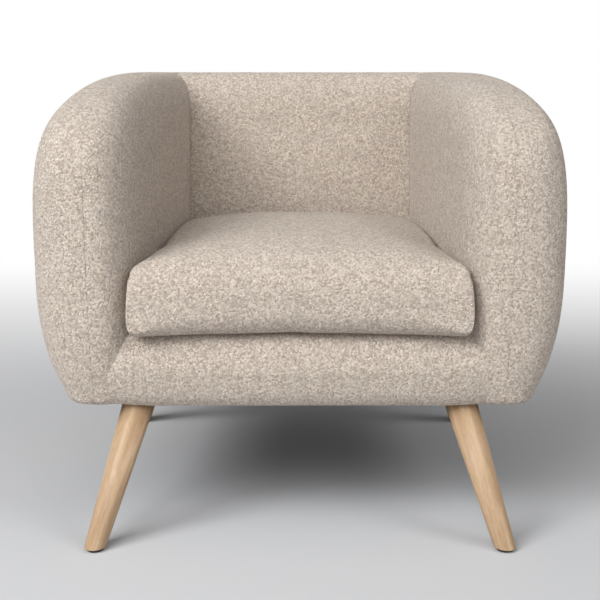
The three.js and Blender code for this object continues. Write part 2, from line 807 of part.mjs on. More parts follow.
function addSeatBox() {
  for (const [side, sign] of [['left', -1], ['right', 1]]) {
    const frontX = frontBlockX - block.width / 2;
    const rearX = rearBlockX - block.width / 2;
    const front = flipped(legBlock(frontLegTop, frontX, block.frontSetback, 1), sign);
    const rear = flipped(legBlock(rearLegTop, rearX, rearBlockSetback, -1), sign);
    const frontSpot = spot(sign * frontX, block.frontSetback, frameBottom);
    const rearSpot = spot(sign * rearX, rearBlockSetback, frameBottom);
    place(`front_${side}_leg_block`, front, finishes.timber, frontSpot);
    place(`rear_${side}_leg_block`, rear, finishes.timber, rearSpot);
    const sideStart = block.frontSetback + block.depth + clear;
    const sideLength = rearBlockSetback - clear - sideStart;
    const sideRail = frontProfile(easedOutline(rails.side, railHeight), sideLength);
    sideRail.translate(-rails.side / 2, 0, 0);
    place(`${side}_seat_rail`, sideRail, finishes.timber, spot(sign * sideRailX, sideStart, frameBottom));
  }
  const frontLength = 2 * (frontBlockX - block.width / 2 - clear);
  const backLength = 2 * (rearBlockX - block.width / 2 - clear);
  const frontBoard = sideProfile(easedOutline(rails.front, railHeight), frontLength);
  place('front_seat_rail', frontBoard, finishes.timber, spot(0, block.frontSetback, frameBottom));
  const backBoard = sideProfile(easedOutline(rails.back, railHeight), backLength);
  place('back_seat_rail', backBoard, finishes.timber, spot(0, backRailSetback, frameBottom));
}

const armRailTop = (setback) => crownHeight(setback) - ribs.crownDrop;
const topRailFront = cornerSetback + wall.inner - timber.topRail / 2;

// The plywood ribs take their outline from the wall itself, set in by cover and foam
function sectionOutline(stationAt, plane, slack) {
  const rows = sectionRows(stationAt).map(plane);
  const first = flat(rows[0].x, frameBottom - overrun);
  const last = flat(rows.at(-1).x, frameBottom - overrun);
  return inset2d([first, ...rows, last], -frameInset - slack);
}

function addArmRibs() {
  const bottom = (y0, y1) => box(-overrun, 2 * arm.line, y0, y1, 0, frameBottom);
  for (const [end, setback] of [['front', ribs.frontSetback], ['rear', rearRibSetback]]) {
    const y0 = setback - overrun;
    const y1 = setback + timber.ply + overrun;
    const narrow = end === 'front' ? setback : setback + timber.ply;
    const outline = sectionOutline(plainStation(narrow), (p) => flat(p.x, p.z), ribs.slack);
    const plate = frontProfile(outline, timber.ply);
    plate.translate(0, setback, 0);
    const under = armRailTop(setback) - timber.armRailHeight - clear;
    const above = box(0, 2 * arm.line, y0, y1, under, 2 * wall.top);
    const notch = box(-overrun, sideRailOuter + clear, y0, y1, 0, frameTop + clear);
    const rib = cut(plate, bottom(y0, y1), above, notch);
    for (const [side, sign] of [['left', -1], ['right', 1]]) {
      place(`${end}_${side}_arm_rib`, flipped(rib, sign), finishes.timber);
    }
  }
}

function plainStation(setback) {
  const share = Math.min(setback / arm.noseDepth, 1);
  const swell = (1 - (1 - share) ** arm.noseSquareness) ** (1 / arm.noseSquareness);
  return armStationAt(setback, swell);
}

function addArmRails() {
  const end = topRailFront - clear;
  const top = [];
  for (let i = 0; i <= steps.armRail; i += 1) {
    const setback = THREE.MathUtils.lerp(ribs.frontSetback, end + timber.armRail, i / steps.armRail);
    top.push(flat(setback, armRailTop(setback)));
  }
  const under = [...top].reverse().map((p) => flat(p.x, p.y - timber.armRailHeight));
  const board = sideProfile([...top, ...under], timber.armRail);
  board.rotateZ(straightAngle);
  const past = box(-arm.line, arm.line, end - arm.line, backLine, 0, 2 * wall.top);
  past.translate(0, arm.line, 0);
  const rail = cut(board, past);
  for (const [side, sign] of [['left', -1], ['right', 1]]) {
    place(`${side}_arm_rail`, flipped(rail, sign), finishes.timber, spot(sign * arm.line, 0, 0));
  }
}

function addBackFrame() {
  const railTop = wall.top - ribs.crownDrop;
  const section = easedOutline(timber.topRail, timber.topRailHeight);
  const board = sideProfile(section, 2 * (cornerX + ribs.topRailReach));
  place('top_back_rail', board, finishes.timber, spot(0, topRailFront, railTop - timber.topRailHeight));
  const middle = backStation(0, flat(0, backLine), flat(-1, 0));
  const outline = sectionOutline(middle, (p) => flat(p.y, p.z), 0);
  const plate = sideProfile(outline, timber.ply);
  // The rib's foot reaches forward to the back seat rail, which it is screwed to.
  const half = timber.ply / 2;
  const foot = box(-half, half, backRibFront, seat.depth + wall.inner, frameBottom, frameTop);
  const wide = 2 * half;
  const under = railTop - timber.topRailHeight - clear;
  const tools = [
    box(-wide, wide, 0, 2 * backLine, 0, frameBottom),
    box(-wide, wide, 0, 2 * backLine, under, 2 * wall.top),
  ];
  const rib = cut(join(plate, foot), ...tools);
  for (const [side, sign] of [['left', -1], ['right', 1]]) {
    place(`${side}_back_rib`, rib, finishes.timber, spot(sign * ribs.backX, 0, 0));
  }
}

// Seat suspension: zigzag springs hooked into clips on the front and back rails

const wireHeight = clip.plate + clear + spring.wire;
const pitch = (springRear - springFront) / spring.bends;

class ZigzagSpring extends THREE.Curve {
  getPoint(t, target = new THREE.Vector3()) {
    const bend = pitch / 2;
    const unit = spring.bar + Math.PI * bend;
    const along = t * (spring.bends * unit + spring.bar);
    const index = Math.min(Math.floor(along / unit), spring.bends);
    const rest = along - index * unit;
    const way = index % 2 === 0 ? 1 : -1;
    const turn = Math.max(0, rest - spring.bar) / bend;
    const x = way * (Math.min(rest, spring.bar) - spring.bar / 2 + bend * Math.sin(turn));
    const y = index * pitch + bend * (1 - Math.cos(turn));
    const share = Math.abs(2 * y / (spring.bends * pitch) - 1);
    return target.set(x, y, spring.rise * (1 - share ** spring.archPower));
  }
}

function springGeometry() {
  const section = [];
  for (let i = 0; i < steps.wireSides; i += 1) {
    const turn = 2 * Math.PI * i / steps.wireSides;
    section.push(flat(spring.wire * Math.cos(turn), spring.wire * Math.sin(turn)));
  }
  return new THREE.ExtrudeGeometry(new THREE.Shape(section), {
    steps: spring.bends * steps.wirePerBend + steps.wirePerBend / 2,
    extrudePath: new ZigzagSpring(),
    bevelEnabled: false,
  });
}

function clipGeometry() {
  const inner = spring.wire + clear;
  const outer = inner + clip.plate;
  const hook = (radius, i) => {
    const turn = -quarterTurn - (Math.PI + clip.hookTurn * Math.PI) * i / steps.hook;
    return flat(radius * Math.cos(turn), outer + radius * Math.sin(turn));
  };
  const outline = [flat(clip.foot, 0), flat(clip.foot, clip.plate)];
  for (let i = 0; i <= steps.hook; i += 1) {
    outline.push(hook(inner, i));
  }
  for (let i = steps.hook; i >= 0; i -= 1) {
    outline.push(hook(outer, i));
  }
  return sideProfile(outline, clip.width);
}

function addSuspension() {
  const railTop = frameTop + clear;
  for (let i = 0; i < spring.count; i += 1) {
    const x = spring.spacing * (i - (spring.count - 1) / 2);
    const wire = spot(x, springFront, railTop + wireHeight);
    place(`seat_spring_${i + 1}`, springGeometry(), finishes.steel, wire);
    const front = place(`front_spring_clip_${i + 1}`, clipGeometry(), finishes.steel);
    front.position.copy(spot(x, springFront, railTop));
    const rear = place(`rear_spring_clip_${i + 1}`, clipGeometry(), finishes.steel);
    rear.position.copy(spot(x, springRear, railTop));
    rear.rotation.z = Math.PI;
  }
  const deckBottom = railTop + wireHeight + spring.rise + spring.wire + clear;
  const front = frontRail.setback + frontRail.lipDepth + clear;
  const halfAt = (setback) => innerFront - arm.closing * setback / cornerSetback - clear - deck.slack;
  const rear = seat.depth - clear;
  const right = [flat(halfAt(front), front), flat(halfAt(rear), rear)];
  const left = right.map((p) => flat(-p.x, p.y)).reverse();
  const plan = [...right, ...left];
  const pad = planProfile(plan, deck.pad);
  place('insulator_pad', pad, finishes.felt, spot(0, 0, deckBottom));
  const cloth = planProfile(plan, deck.cloth);
  place('deck_cloth', cloth, finishes.dustCloth, spot(0, 0, deckBottom + deck.pad + clear));
}

// Legs

function addLegs() {
  const top = frameBottom - clear;
  const bottom = glide.height + clear;
  const reach = 2 * leg.topRadius;
  const pairs = [['front', frontFootX, leg.frontFoot, 1], ['rear', rearFootX, rearFoot, -1]];
  for (const [end, x, foot, rake] of pairs) {
    const cone = placedLegCone(0, 0, rake, 0);
    const socket = glide.stemRadius + clear;
    const stem = new THREE.CylinderGeometry(socket, socket, 2 * glide.stem);
    stem.rotateX(quarterTurn);
    stem.translate(0, 0, bottom);
    const bore = tilted(axisRod(bolt.bore, -bolt.reach - clear, bolt.reach + clear, bolt.tip), rake);
    const shift = spot(-leg.sideSplay * frameBottom, rake * leg.rakeSplay * frameBottom, frameBottom);
    bore.translate(shift.x, shift.y, shift.z);
    const far = 2 * reach + Math.abs(shift.x) + Math.abs(shift.y);
    const above = box(-far, far, -far, far, top, 2 * top);
    const below = box(-far, far, -far, far, -far, bottom);
    const body = cut(cone, above, below, stem, bore);
    const rod = tilted(axisRod(bolt.radius, -bolt.reach, bolt.reach, bolt.tip), rake);
    for (const [side, sign] of [['left', -1], ['right', 1]]) {
      place(`${end}_${side}_leg`, flipped(body, sign), finishes.oak, spot(sign * x, foot, 0));
      place(`${end}_${side}_hanger_bolt`, flipped(rod, sign), finishes.steel,
        spot(sign * (x + shift.x), foot + shift.y, shift.z));
      place(`${end}_${side}_glide`, glideGeometry(), finishes.nylon, spot(sign * x, foot, 0));
    }
  }
}

function glideGeometry() {
  const { radius, height, eased, stemRadius, stem } = glide;
  const profile = [flat(0, 0), flat(radius - eased, 0), flat(radius, eased), flat(radius, height),
    flat(stemRadius, height), flat(stemRadius, stem), flat(0, stem)];
  const body = new THREE.LatheGeometry(profile, steps.glideSides);
  body.rotateX(quarterTurn);
  return body;
}

// Loose seat cushion

// Rings of the cushion from its underside to its crown, set in by a given distance
function cushionSolid(distance, columns, edgeSteps) {
  const middle = (cushion.front + cushionRear) / 2;
  const halfDepth = (cushionRear - cushion.front) / 2 - distance;
  const ring = (step, level, dome) => {
    const loop = [];
    for (let i = 0; i < columns; i += 1) {
      const turn = 2 * Math.PI * i / columns;
      const power = 2 / cushion.cornerSquareness;
      const u = Math.sign(Math.cos(turn)) * Math.abs(Math.cos(turn)) ** power;
      const v = Math.sign(Math.sin(turn)) * Math.abs(Math.sin(turn)) ** power;
      const share = (1 + v) / 2;
      const half = THREE.MathUtils.lerp(cushionFrontHalf, cushionRearHalf, share) - distance;
      const pull = cushion.drawnIn * (1 - v * v) * u;
      const x = u * (half - step) - pull;
      const y = middle + v * (halfDepth - step);
      const swell = (1 - (x / half) ** 2) * (1 - ((y - middle) / halfDepth) ** 2);
      loop.push(spot(x, y, level + dome * swell));
    }
    return loop;
  };
  const rings = [];
  const low = cushionBottom + distance;
  const high = cushionEdge - distance;
  const lowRound = cushion.bottomRound - distance;
  const highRound = cushion.topRound - distance;
  const innerSteps = cushion.innerShares.map((share) => cushionFrontHalf * share);
  for (const step of innerSteps) {
    rings.push(ring(step, low, 0));
  }
  for (let i = 0; i <= edgeSteps; i += 1) {
    const turn = quarterTurn * i / edgeSteps;
    const step = cushion.bulge + lowRound * (1 - Math.sin(turn));
    rings.push(ring(step, low + lowRound * (1 - Math.cos(turn)), 0));
  }
  rings.push(ring(0, (low + high) / 2, 0));
  for (let i = 0; i <= edgeSteps; i += 1) {
    const turn = quarterTurn * i / edgeSteps;
    const step = cushion.bulge + highRound * (1 - Math.cos(turn));
    rings.push(ring(step, high - highRound * (1 - Math.sin(turn)), cushion.crown * Math.sin(turn)));
  }
  for (const step of [...innerSteps].reverse()) {
    rings.push(ring(step, high, cushion.crown));
  }
  return cappedRings(rings);
}

function addCushion() {
  const columns = steps.cushionColumns;
  const shell = cushionSolid(0, columns, steps.cushionEdge);
  const hollow = cushionSolid(cushion.cover, columns, steps.cushionEdge);
  const half = zip.length / 2;
  const rear = cushionRear;
  const slotDepth = cushion.cover + overrun;
  const [under, over] = [zipHeight - zip.width / 2, zipHeight + zip.width / 2];
  const slit = box(-half, half, rear - slotDepth, rear + overrun, under, over);
  place('cushion_cover', cut(shell, hollow, slit), finishes.fabric);
  place('cushion_foam', cushionSolid(cushion.cover + clear, columns, steps.cushionEdge), finishes.foam);
  const tape = box(-half + clear, half - clear, -zip.tape, 0, -zip.width / 2 + clear, zip.width / 2 - clear);
  place('cushion_zip', tape, finishes.nylon, spot(0, rear, zipHeight));
  const [sliderHalf, sliderSide] = [zipSlider.length / 2, zipSlider.width / 2];
  const slider = box(-sliderHalf, sliderHalf, clear, zipSlider.depth, -sliderSide, sliderSide);
  place('zip_slider', slider, finishes.steel, spot(-half + zipSlider.length, rear, zipHeight));
}

addArm('right', 1);
addArm('left', -1);
addBack();
addFrontRail();
addDustCover();
addSeatBox();
addArmRibs();
addArmRails();
addBackFrame();
addSuspension();
addLegs();
addCushion();

// The origin stands under the middle of the whole chair.
const bounds = new THREE.Box3().setFromObject(chair);
chair.position.y = -(bounds.min.y + bounds.max.y) / 2;

export default chair;
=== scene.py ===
# %% [markdown]
# # A tub chair, dressed
# The chair is a barrel-sided tub covered in a nubby wool-mix cloth, with a loose seat cushion and four
# splayed oak legs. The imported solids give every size. This file puts real surfaces round them: cloth
# panels with sewn seams, a soft cushion, turned legs and the light of a plain studio.

# %% The fixed frame
import math

import bmesh
import bpy
import numpy as np
from mathutils import Matrix, Vector, noise
from mathutils.bvhtree import BVHTree
from mathutils.kdtree import KDTree


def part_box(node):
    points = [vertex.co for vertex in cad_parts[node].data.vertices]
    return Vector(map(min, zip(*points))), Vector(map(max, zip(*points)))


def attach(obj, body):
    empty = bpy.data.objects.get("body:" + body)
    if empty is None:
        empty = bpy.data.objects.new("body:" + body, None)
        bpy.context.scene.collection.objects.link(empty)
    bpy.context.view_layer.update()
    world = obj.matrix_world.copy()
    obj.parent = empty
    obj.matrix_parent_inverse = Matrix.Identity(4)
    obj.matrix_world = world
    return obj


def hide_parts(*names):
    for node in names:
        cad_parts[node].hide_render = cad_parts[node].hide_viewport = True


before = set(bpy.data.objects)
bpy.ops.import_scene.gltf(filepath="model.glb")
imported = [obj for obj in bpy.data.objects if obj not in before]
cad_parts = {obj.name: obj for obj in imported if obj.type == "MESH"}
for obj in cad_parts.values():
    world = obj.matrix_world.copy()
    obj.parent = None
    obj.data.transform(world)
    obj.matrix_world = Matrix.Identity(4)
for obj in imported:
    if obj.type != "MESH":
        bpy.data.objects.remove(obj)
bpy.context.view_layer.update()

front_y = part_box("left_arm_outside_cover")[0].y
print("the arms begin at y =", round(front_y, 4))

# %% [markdown]
# ## The camera
# The photograph looks down a little, from just under a metre and a half in front of the arms. Its
# vanishing lines give the height, the tilt and a lens of 63 mm on a 36 mm wide sensor.

# %% The photograph's camera
camera_height = 0.686
camera_distance = 1.451
camera_tilt = math.radians(12.07)
camera_data = bpy.data.cameras.new("camera")
camera_data.sensor_width = 36
camera_data.lens = 63
camera = bpy.data.objects.new("camera", camera_data)
bpy.context.scene.collection.objects.link(camera)
camera.location = (0, front_y - camera_distance, camera_height)
camera.rotation_euler = (math.pi / 2 - camera_tilt, 0, 0)
bpy.context.scene.camera = camera
bpy.context.scene.view_settings.view_transform = "Standard"
print("the camera stands at", tuple(round(v, 3) for v in camera.location))

# %% [markdown]
# ## Helpers for materials
# Each finish is a Principled BSDF whose colour and bump come from textures on object coordinates, so a
# pattern keeps its real size and never slides. The wool and the wood grain are node groups. Values for a
# node are given by name, either plain or as the socket of another node, which is then linked.

# %% Node helpers
def feed(tree, sockets, values):
    """Links each socket to the socket given for it, or gives it a plain value."""
    for socket, value in zip(sockets, values):
        if isinstance(value, bpy.types.NodeSocket):
            tree.links.new(value, socket)
        else:
            socket.default_value = value


def fill(tree, node, **values):
    """Feeds a node's inputs by name, and sets its other values."""
    for name, value in values.items():
        label = name.replace("_", " ")
        if label in node.inputs.keys():
            feed(tree, [node.inputs[label]], [value])
        else:
            setattr(node, name, value)


def add_node(tree, kind, **values):
    node = tree.nodes.new(kind)
    fill(tree, node, **values)
    return node


def math_node(tree, operation, first, second):
    node = add_node(tree, "ShaderNodeMath", operation=operation)
    feed(tree, node.inputs, (first, second))
    return node.outputs[0]


def mix_colors(tree, share, first, second):
    node = add_node(tree, "ShaderNodeMix", data_type="RGBA", clamp_factor=True, Factor=share)
    feed(tree, node.inputs[6:8], (first, second))
    return node.outputs[2]


def linear(red, green, blue):
    """A colour given as it looks on a screen, 0 to 255, as the shader's linear values."""
    shares = [value / 255 for value in (red, green, blue)]
    curve = [s / 12.92 if s <= 0.04045 else ((s + 0.055) / 1.055) ** 2.4 for s in shares]
    return (*curve, 1)


def new_group(name, inputs, outputs):
    group = bpy.data.node_groups.new(name, "ShaderNodeTree")
    for label, kind, value in inputs:
        socket = group.interface.new_socket(label, in_out="INPUT", socket_type=kind)
        if value is not None:
            socket.default_value = value
    for label, kind in outputs:
        group.interface.new_socket(label, in_out="OUTPUT", socket_type=kind)
    return group, group.nodes.new("NodeGroupInput"), group.nodes.new("NodeGroupOutput")


def new_material(name, roughness, **fixed):
    material = bpy.data.materials.new(name)
    material.use_nodes = True
    tree = material.node_tree
    shader = tree.nodes["Principled BSDF"]
    fill(tree, shader, Roughness=roughness, **fixed)
    return material, tree, shader


def bump(tree, shader, height, distance, strength=1.0):
    node = add_node(tree, "ShaderNodeBump", Distance=distance, Strength=strength, Height=height)
    fill(tree, shader, Normal=node.outputs["Normal"])


def object_position(tree):
    return tree.nodes.new("ShaderNodeTexCoord").outputs["Object"]


print("helpers ready")

# %% [markdown]
# ## The cloth
# The covers are a beige wool mix with small woolly nubs, two to three millimetres across. Each nub is a
# knot of yarn with its own tone, from cream to taupe, and it catches the light on one side and shades
# the other. So the height comes first: round cells for the nubs and a finer noise for the fibres. The
# colour follows a random value of each cell, the fibres, and a slow drift between warm and grey yarn.

# %% The nubby wool group
nubs_per_metre = 420.0
nub_wander, nub_softness, nub_rise = 0.004, 0.15, 0.35
fibres_per_nub, drifts_per_metre = 1.9, 46.0
yarn_contrast, fibre_contrast, tone_start = 0.9, 0.7, -0.24
grey_start, grey_contrast = -0.4, 1.6


def make_nubs():
    group, start, end = new_group(
        "nubby wool",
        [("Vector", "NodeSocketVector", None), ("Light", "NodeSocketColor", (1, 1, 1, 1)),
         ("Dark", "NodeSocketColor", (0, 0, 0, 1)), ("Grey", "NodeSocketColor", (0, 0, 0, 1)),
         ("Nubs per metre", "NodeSocketFloat", nubs_per_metre)],
        [("Color", "NodeSocketColor"), ("Height", "NodeSocketFloat")],
    )
    place, count = start.outputs["Vector"], start.outputs["Nubs per metre"]
    wander = add_node(group, "ShaderNodeTexNoise", Detail=1.0, Vector=place, Scale=count)
    bend = add_node(group, "ShaderNodeVectorMath", operation="MULTIPLY_ADD")
    feed(group, bend.inputs, (wander.outputs["Color"], (nub_wander, nub_wander, nub_wander), place))
    bent = bend.outputs[0]
    nubs = add_node(
        group, "ShaderNodeTexVoronoi", feature="SMOOTH_F1", Smoothness=nub_softness, Vector=bent,
        Scale=count,
    )
    yarn = add_node(group, "ShaderNodeSeparateColor", Color=nubs.outputs["Color"])
    fibre_count = math_node(group, "MULTIPLY", count, fibres_per_nub)
    fibres = add_node(
        group, "ShaderNodeTexNoise", Detail=2.0, Roughness=0.6, Vector=bent, Scale=fibre_count,
    )
    drift = add_node(group, "ShaderNodeTexNoise", Detail=2.0, Vector=place, Scale=drifts_per_metre)

    hump = math_node(group, "SUBTRACT", 1.0, nubs.outputs["Distance"])
    rise = math_node(group, "MULTIPLY", yarn.outputs["Green"], nub_rise)
    height = math_node(group, "ADD", math_node(group, "ADD", hump, rise), fibres.outputs["Fac"])

    yarn_tone = math_node(group, "MULTIPLY", yarn.outputs["Red"], yarn_contrast)
    fibre_tone = math_node(group, "MULTIPLY", fibres.outputs["Fac"], fibre_contrast)
    tone = math_node(group, "ADD", math_node(group, "ADD", yarn_tone, tone_start), fibre_tone)
    color = mix_colors(group, tone, start.outputs["Dark"], start.outputs["Light"])
    cool = math_node(group, "ADD", drift.outputs["Fac"], grey_start)
    cool = math_node(group, "MULTIPLY", cool, grey_contrast)
    cool = math_node(group, "MULTIPLY", cool, yarn.outputs["Blue"])
    color = mix_colors(group, cool, color, start.outputs["Grey"])
    fill(group, end, Color=color, Height=height)
    return group


nub_group = make_nubs()
nub_height = 0.0032


def make_cloth():
    material, tree, shader = new_material(
        "wool mix", 0.95, Sheen_Weight=0.25, Sheen_Roughness=0.45, Specular_IOR_Level=0.25,
    )
    nubs = add_node(
        tree, "ShaderNodeGroup", node_tree=nub_group, Vector=object_position(tree),
        Light=linear(254, 241, 226), Dark=linear(176, 155, 138), Grey=linear(205, 191, 179),
    )
    fill(tree, shader, Base_Color=nubs.outputs["Color"])
    bump(tree, shader, nubs.outputs["Height"], nub_height)
    return material


cloth = make_cloth()
print("cloth made")

# %% [markdown]
# ## The oak
# The legs are turned from light oak. Its grain runs along each leg, so the pattern is stretched along
# the leg's own axis: long streaks of pores over broad, soft bands of early and late wood.

# %% The wood grain group
grain_stretch, pores_per_band = 0.05, 9.0
band_contrast, band_start, pore_contrast = 1.5, -0.5, 1.1
grain_height, grain_strength = 0.0002, 0.6


def make_grain():
    group, start, end = new_group(
        "wood grain",
        [("Vector", "NodeSocketVector", None), ("Light", "NodeSocketColor", (1, 1, 1, 1)),
         ("Dark", "NodeSocketColor", (0, 0, 0, 1)), ("Bands per metre", "NodeSocketFloat", 120.0)],
        [("Color", "NodeSocketColor"), ("Height", "NodeSocketFloat")],
    )
    count = start.outputs["Bands per metre"]
    stretch = add_node(
        group, "ShaderNodeMapping", Vector=start.outputs["Vector"], Scale=(1, 1, grain_stretch),
    )
    bands = add_node(
        group, "ShaderNodeTexNoise", Detail=2.0, Roughness=0.5, Distortion=0.6,
        Vector=stretch.outputs[0], Scale=count,
    )
    pore_count = math_node(group, "MULTIPLY", count, pores_per_band)
    pores = add_node(
        group, "ShaderNodeTexNoise", Detail=3.0, Roughness=0.65, Vector=stretch.outputs[0],
        Scale=pore_count,
    )
    tone = math_node(group, "MULTIPLY", bands.outputs["Fac"], band_contrast)
    tone = math_node(group, "ADD", tone, band_start)
    fine = math_node(group, "ADD", pores.outputs["Fac"], -0.5)
    fine = math_node(group, "MULTIPLY", fine, pore_contrast)
    tone = math_node(group, "ADD", tone, fine)
    color = mix_colors(group, tone, start.outputs["Dark"], start.outputs["Light"])
    fill(group, end, Color=color, Height=pores.outputs["Fac"])
    return group


grain_group = make_grain()


def make_wood(name, light, dark, bands, roughness, turn=(0, 0, 0)):
    material, tree, shader = new_material(name, roughness, Specular_IOR_Level=0.4)
    mapping = add_node(tree, "ShaderNodeMapping", Vector=object_position(tree), Rotation=turn)
    grain = add_node(
        tree, "ShaderNodeGroup", node_tree=grain_group, Vector=mapping.outputs[0], Light=light,
        Dark=dark, Bands_per_metre=bands,
    )
    fill(tree, shader, Base_Color=grain.outputs["Color"])
    bump(tree, shader, grain.outputs["Height"], grain_height, grain_strength)
    return material


print("wood grain made")

# %% [markdown]
# ## The wall's shape
# The arms and the back are one padded wall that runs round the seat as a U. A cut across it anywhere is
# the same kind of outline: straight up the seat side, over a soft roll to the crown, and down a full
# barrel-shaped outside. Cuts are taken at many places along the U and the same number of points is
# spread evenly over each, which gives an even grid. The edges are superellipses, fuller than a circle,
# as foam under taut cloth is.

# %% Sizes of the wall
arm_line = 0.301
inner_half = 0.054
outer_half = 0.096
closing = 0.042
wall_bottom = 0.207
wall_top = 0.692
widest = 0.4
shoulder_squareness = 3.5
roll_height = 0.09
roll_squareness = 2.4
taper = 0.043
taper_power = 2.46
edge_round = 0.016
turn_under = 0.004
nose_depth = 0.113
nose_squareness = 2.62
nose_top = 0.53
crown_run = 0.55
crown_squareness = 2.9
front_taper = 0.026
front_taper_fade = 0.2
seat_depth = 0.512
back_lean = 0.038
side_lean = 0.004
deck_height = 0.3

quarter = math.pi / 2
wall_width = inner_half + outer_half
inner_front = arm_line - inner_half
corner_depth = seat_depth + back_lean
corner_x = inner_front - closing
roll_foot = wall_top - roll_height
low_edge = wall_bottom + edge_round
straight_angle = math.atan(closing / corner_depth)
mitre_angle = (quarter + straight_angle) / 2
straight_end = corner_depth - outer_half * math.sqrt(2)
lead_share = 0.4
back_corner_share = 0.6
back_turn_share = 0.25
section_steps = 60


def mixed(a, b, share):
    return a + (b - a) * share


def rounded_quarter(turn, squareness):
    power = 2 / squareness
    return max(math.cos(turn), 0) ** power, max(math.sin(turn), 0) ** power


def crown_height(setback):
    left = 1 - min(max(setback / crown_run, 0), 1)
    return nose_top + (wall_top - nose_top) * (1 - left**crown_squareness) ** (1 / crown_squareness)


def station(inner_share, outer, swell, height):
    top = Vector((inner_front - closing * inner_share, corner_depth * inner_share))
    low = Vector((top.x + side_lean * inner_share, seat_depth * inner_share))
    return top, low, outer, swell, height


def arm_station(setback, swell):
    share = setback / corner_depth
    outer = Vector((inner_front + wall_width - closing * share, setback))
    return station(share, outer, swell, crown_height(setback))


def corner_point(angle):
    x = corner_x + wall_width * math.cos(angle)
    y = corner_depth + wall_width * math.sin(angle)
    return Vector((x, y))


def back_station(inner_x, outer):
    top = Vector((inner_x, corner_depth))
    low = Vector((inner_x * (corner_x + side_lean) / corner_x, seat_depth))
    return top, low, outer, 1, wall_top


def station_at(place):
    """A cut through the wall: 0 is the arm's foremost line, 3 the corner, 4 the back's middle."""
    if place <= 1:
        left, swell = rounded_quarter(quarter * place, nose_squareness)
        return arm_station(nose_depth * (1 - left), swell)
    if place <= 2:
        return arm_station(mixed(nose_depth, straight_end, place - 1), 1)
    if place <= 3:
        share = place - 2
        inner_share = mixed(straight_end / corner_depth, 1, share)
        lead = arm_station(straight_end, 1)[2]
        outer = lead.lerp(corner_point(straight_angle), share / lead_share)
        if share > lead_share:
            turned = (share - lead_share) / (1 - lead_share)
            outer = corner_point(mixed(straight_angle, mitre_angle, turned))
        return station(inner_share, outer, 1, crown_height(corner_depth * inner_share))
    share = (place - 3) / back_corner_share
    if share <= 1:
        inner_x = corner_x * (1 - back_turn_share * share)
        return back_station(inner_x, corner_point(mixed(mitre_angle, quarter, share)))
    left = (4 - place) / (1 - back_corner_share)
    outer = Vector((corner_x * left, corner_depth + wall_width))
    return back_station(corner_x * (1 - back_turn_share) * left, outer)


def lower_draw(z):
    return max(0, (widest - z) / (widest - wall_bottom)) ** taper_power


def section(cut):
    """The two halves of a cut: up the seat side to the crown, and down the outside from it."""
    top, low, outer, swell, height = cut
    crown = top.lerp(outer, inner_half / wall_width)
    fade = max(0, 1 - min(top.y, crown.y) / front_taper_fade)

    def placed(plan, z):
        return (plan.x, plan.y + front_taper * lower_draw(z) * fade, z)

    def inner(z, share):
        lean = min((z - deck_height) / (roll_foot - deck_height), 1)
        return placed(crown.lerp(low.lerp(top, lean), swell * share), z)

    def outer_side(z, share):
        return placed(crown.lerp(outer, swell * share), z)

    roll_start = height - roll_height
    shares = [i / section_steps for i in range(section_steps + 1)]
    turns = [quarter * (1 - math.cos(math.pi * share)) / 2 for share in shares]
    inside = [inner(mixed(low_edge, roll_start, share), 1) for share in shares[:-1]]
    for turn in turns:
        across, up = rounded_quarter(turn, roll_squareness)
        inside.append(inner(roll_start + roll_height * up, across))
    outside = []
    for turn in turns:
        up, across = rounded_quarter(turn, shoulder_squareness)
        outside.append(outer_side(widest + (height - widest) * up, across))
    for share in shares[1:]:
        z = mixed(widest, low_edge, share)
        outside.append(outer_side(z, 1 - taper / outer_half * lower_draw(z)))
    return np.array(inside), np.array(outside)


print("the wall is", round(2 * (inner_front + wall_width), 3), "m wide")

# %% [markdown]
# The grid over half the U. Each half of a cut gets its rounded bottom edge and the strip that is turned
# under the frame, and is then divided evenly along its length.

# %% An even grid over the wall
along_arm, along_back, across_half = 140, 50, 104
edge_steps = 8
trial_cuts = 500
near_seam = [0, 0.0008, 0.0016, 0.0025, 0.0036, 0.0052, 0.0076, 0.011]


def shares_along(length, count, fine_start=False, fine_end=False):
    """Even shares of a length, with extra ones close to a seam at either end."""
    first = list(near_seam) if fine_start else [0]
    last = [length - gap for gap in reversed(near_seam)] if fine_end else [length]
    middle = count + 2 - len(first) - len(last)
    between = np.linspace(first[-1], last[0], middle + 1)
    return np.array([*first[:-1], *between, *last[1:]])


def run_of(points):
    steps = np.linalg.norm(np.diff(points, axis=0), axis=1)
    return np.concatenate([[0], np.cumsum(steps)])


def spread(points, count, fine_start, fine_end):
    """A polyline drawn again with count steps, evenly but for the fine steps at a seam."""
    run = run_of(points)
    wanted = shares_along(run[-1], count, fine_start, fine_end)
    return np.stack([np.interp(wanted, run, points[:, k]) for k in range(3)], axis=1)


def cut_places(start, end, count, fine_start, fine_end):
    """Places along the wall, evenly apart along the line where it is widest."""
    trial = np.linspace(start, end, trial_cuts)
    run = run_of(np.array([section(station_at(place))[1][section_steps] for place in trial]))
    return np.interp(shares_along(run[-1], count, fine_start, fine_end), run, trial)


def under_edge(feet, towards):
    """Rows that carry a bottom edge round and under, from a line of feet with a direction each."""
    rows = []
    for i in range(1, edge_steps + 1):
        turn = quarter * i / edge_steps
        row = feet + towards * edge_round * (1 - math.cos(turn))
        row[:, 2] = low_edge - edge_round * math.sin(turn)
        rows.append(row)
    last = feet + towards * (edge_round + turn_under)
    last[:, 2] = wall_bottom
    rows.append(last)
    return np.array(rows)


def level_inwards(feet, sign):
    """Level directions square to a line of feet, pointing into the wall."""
    along = np.gradient(feet, axis=0)
    along[0, 1] = 0
    side = np.stack([-along[:, 1], along[:, 0], np.zeros(len(feet))], axis=1) * sign
    return side / np.linalg.norm(side, axis=1)[:, None]


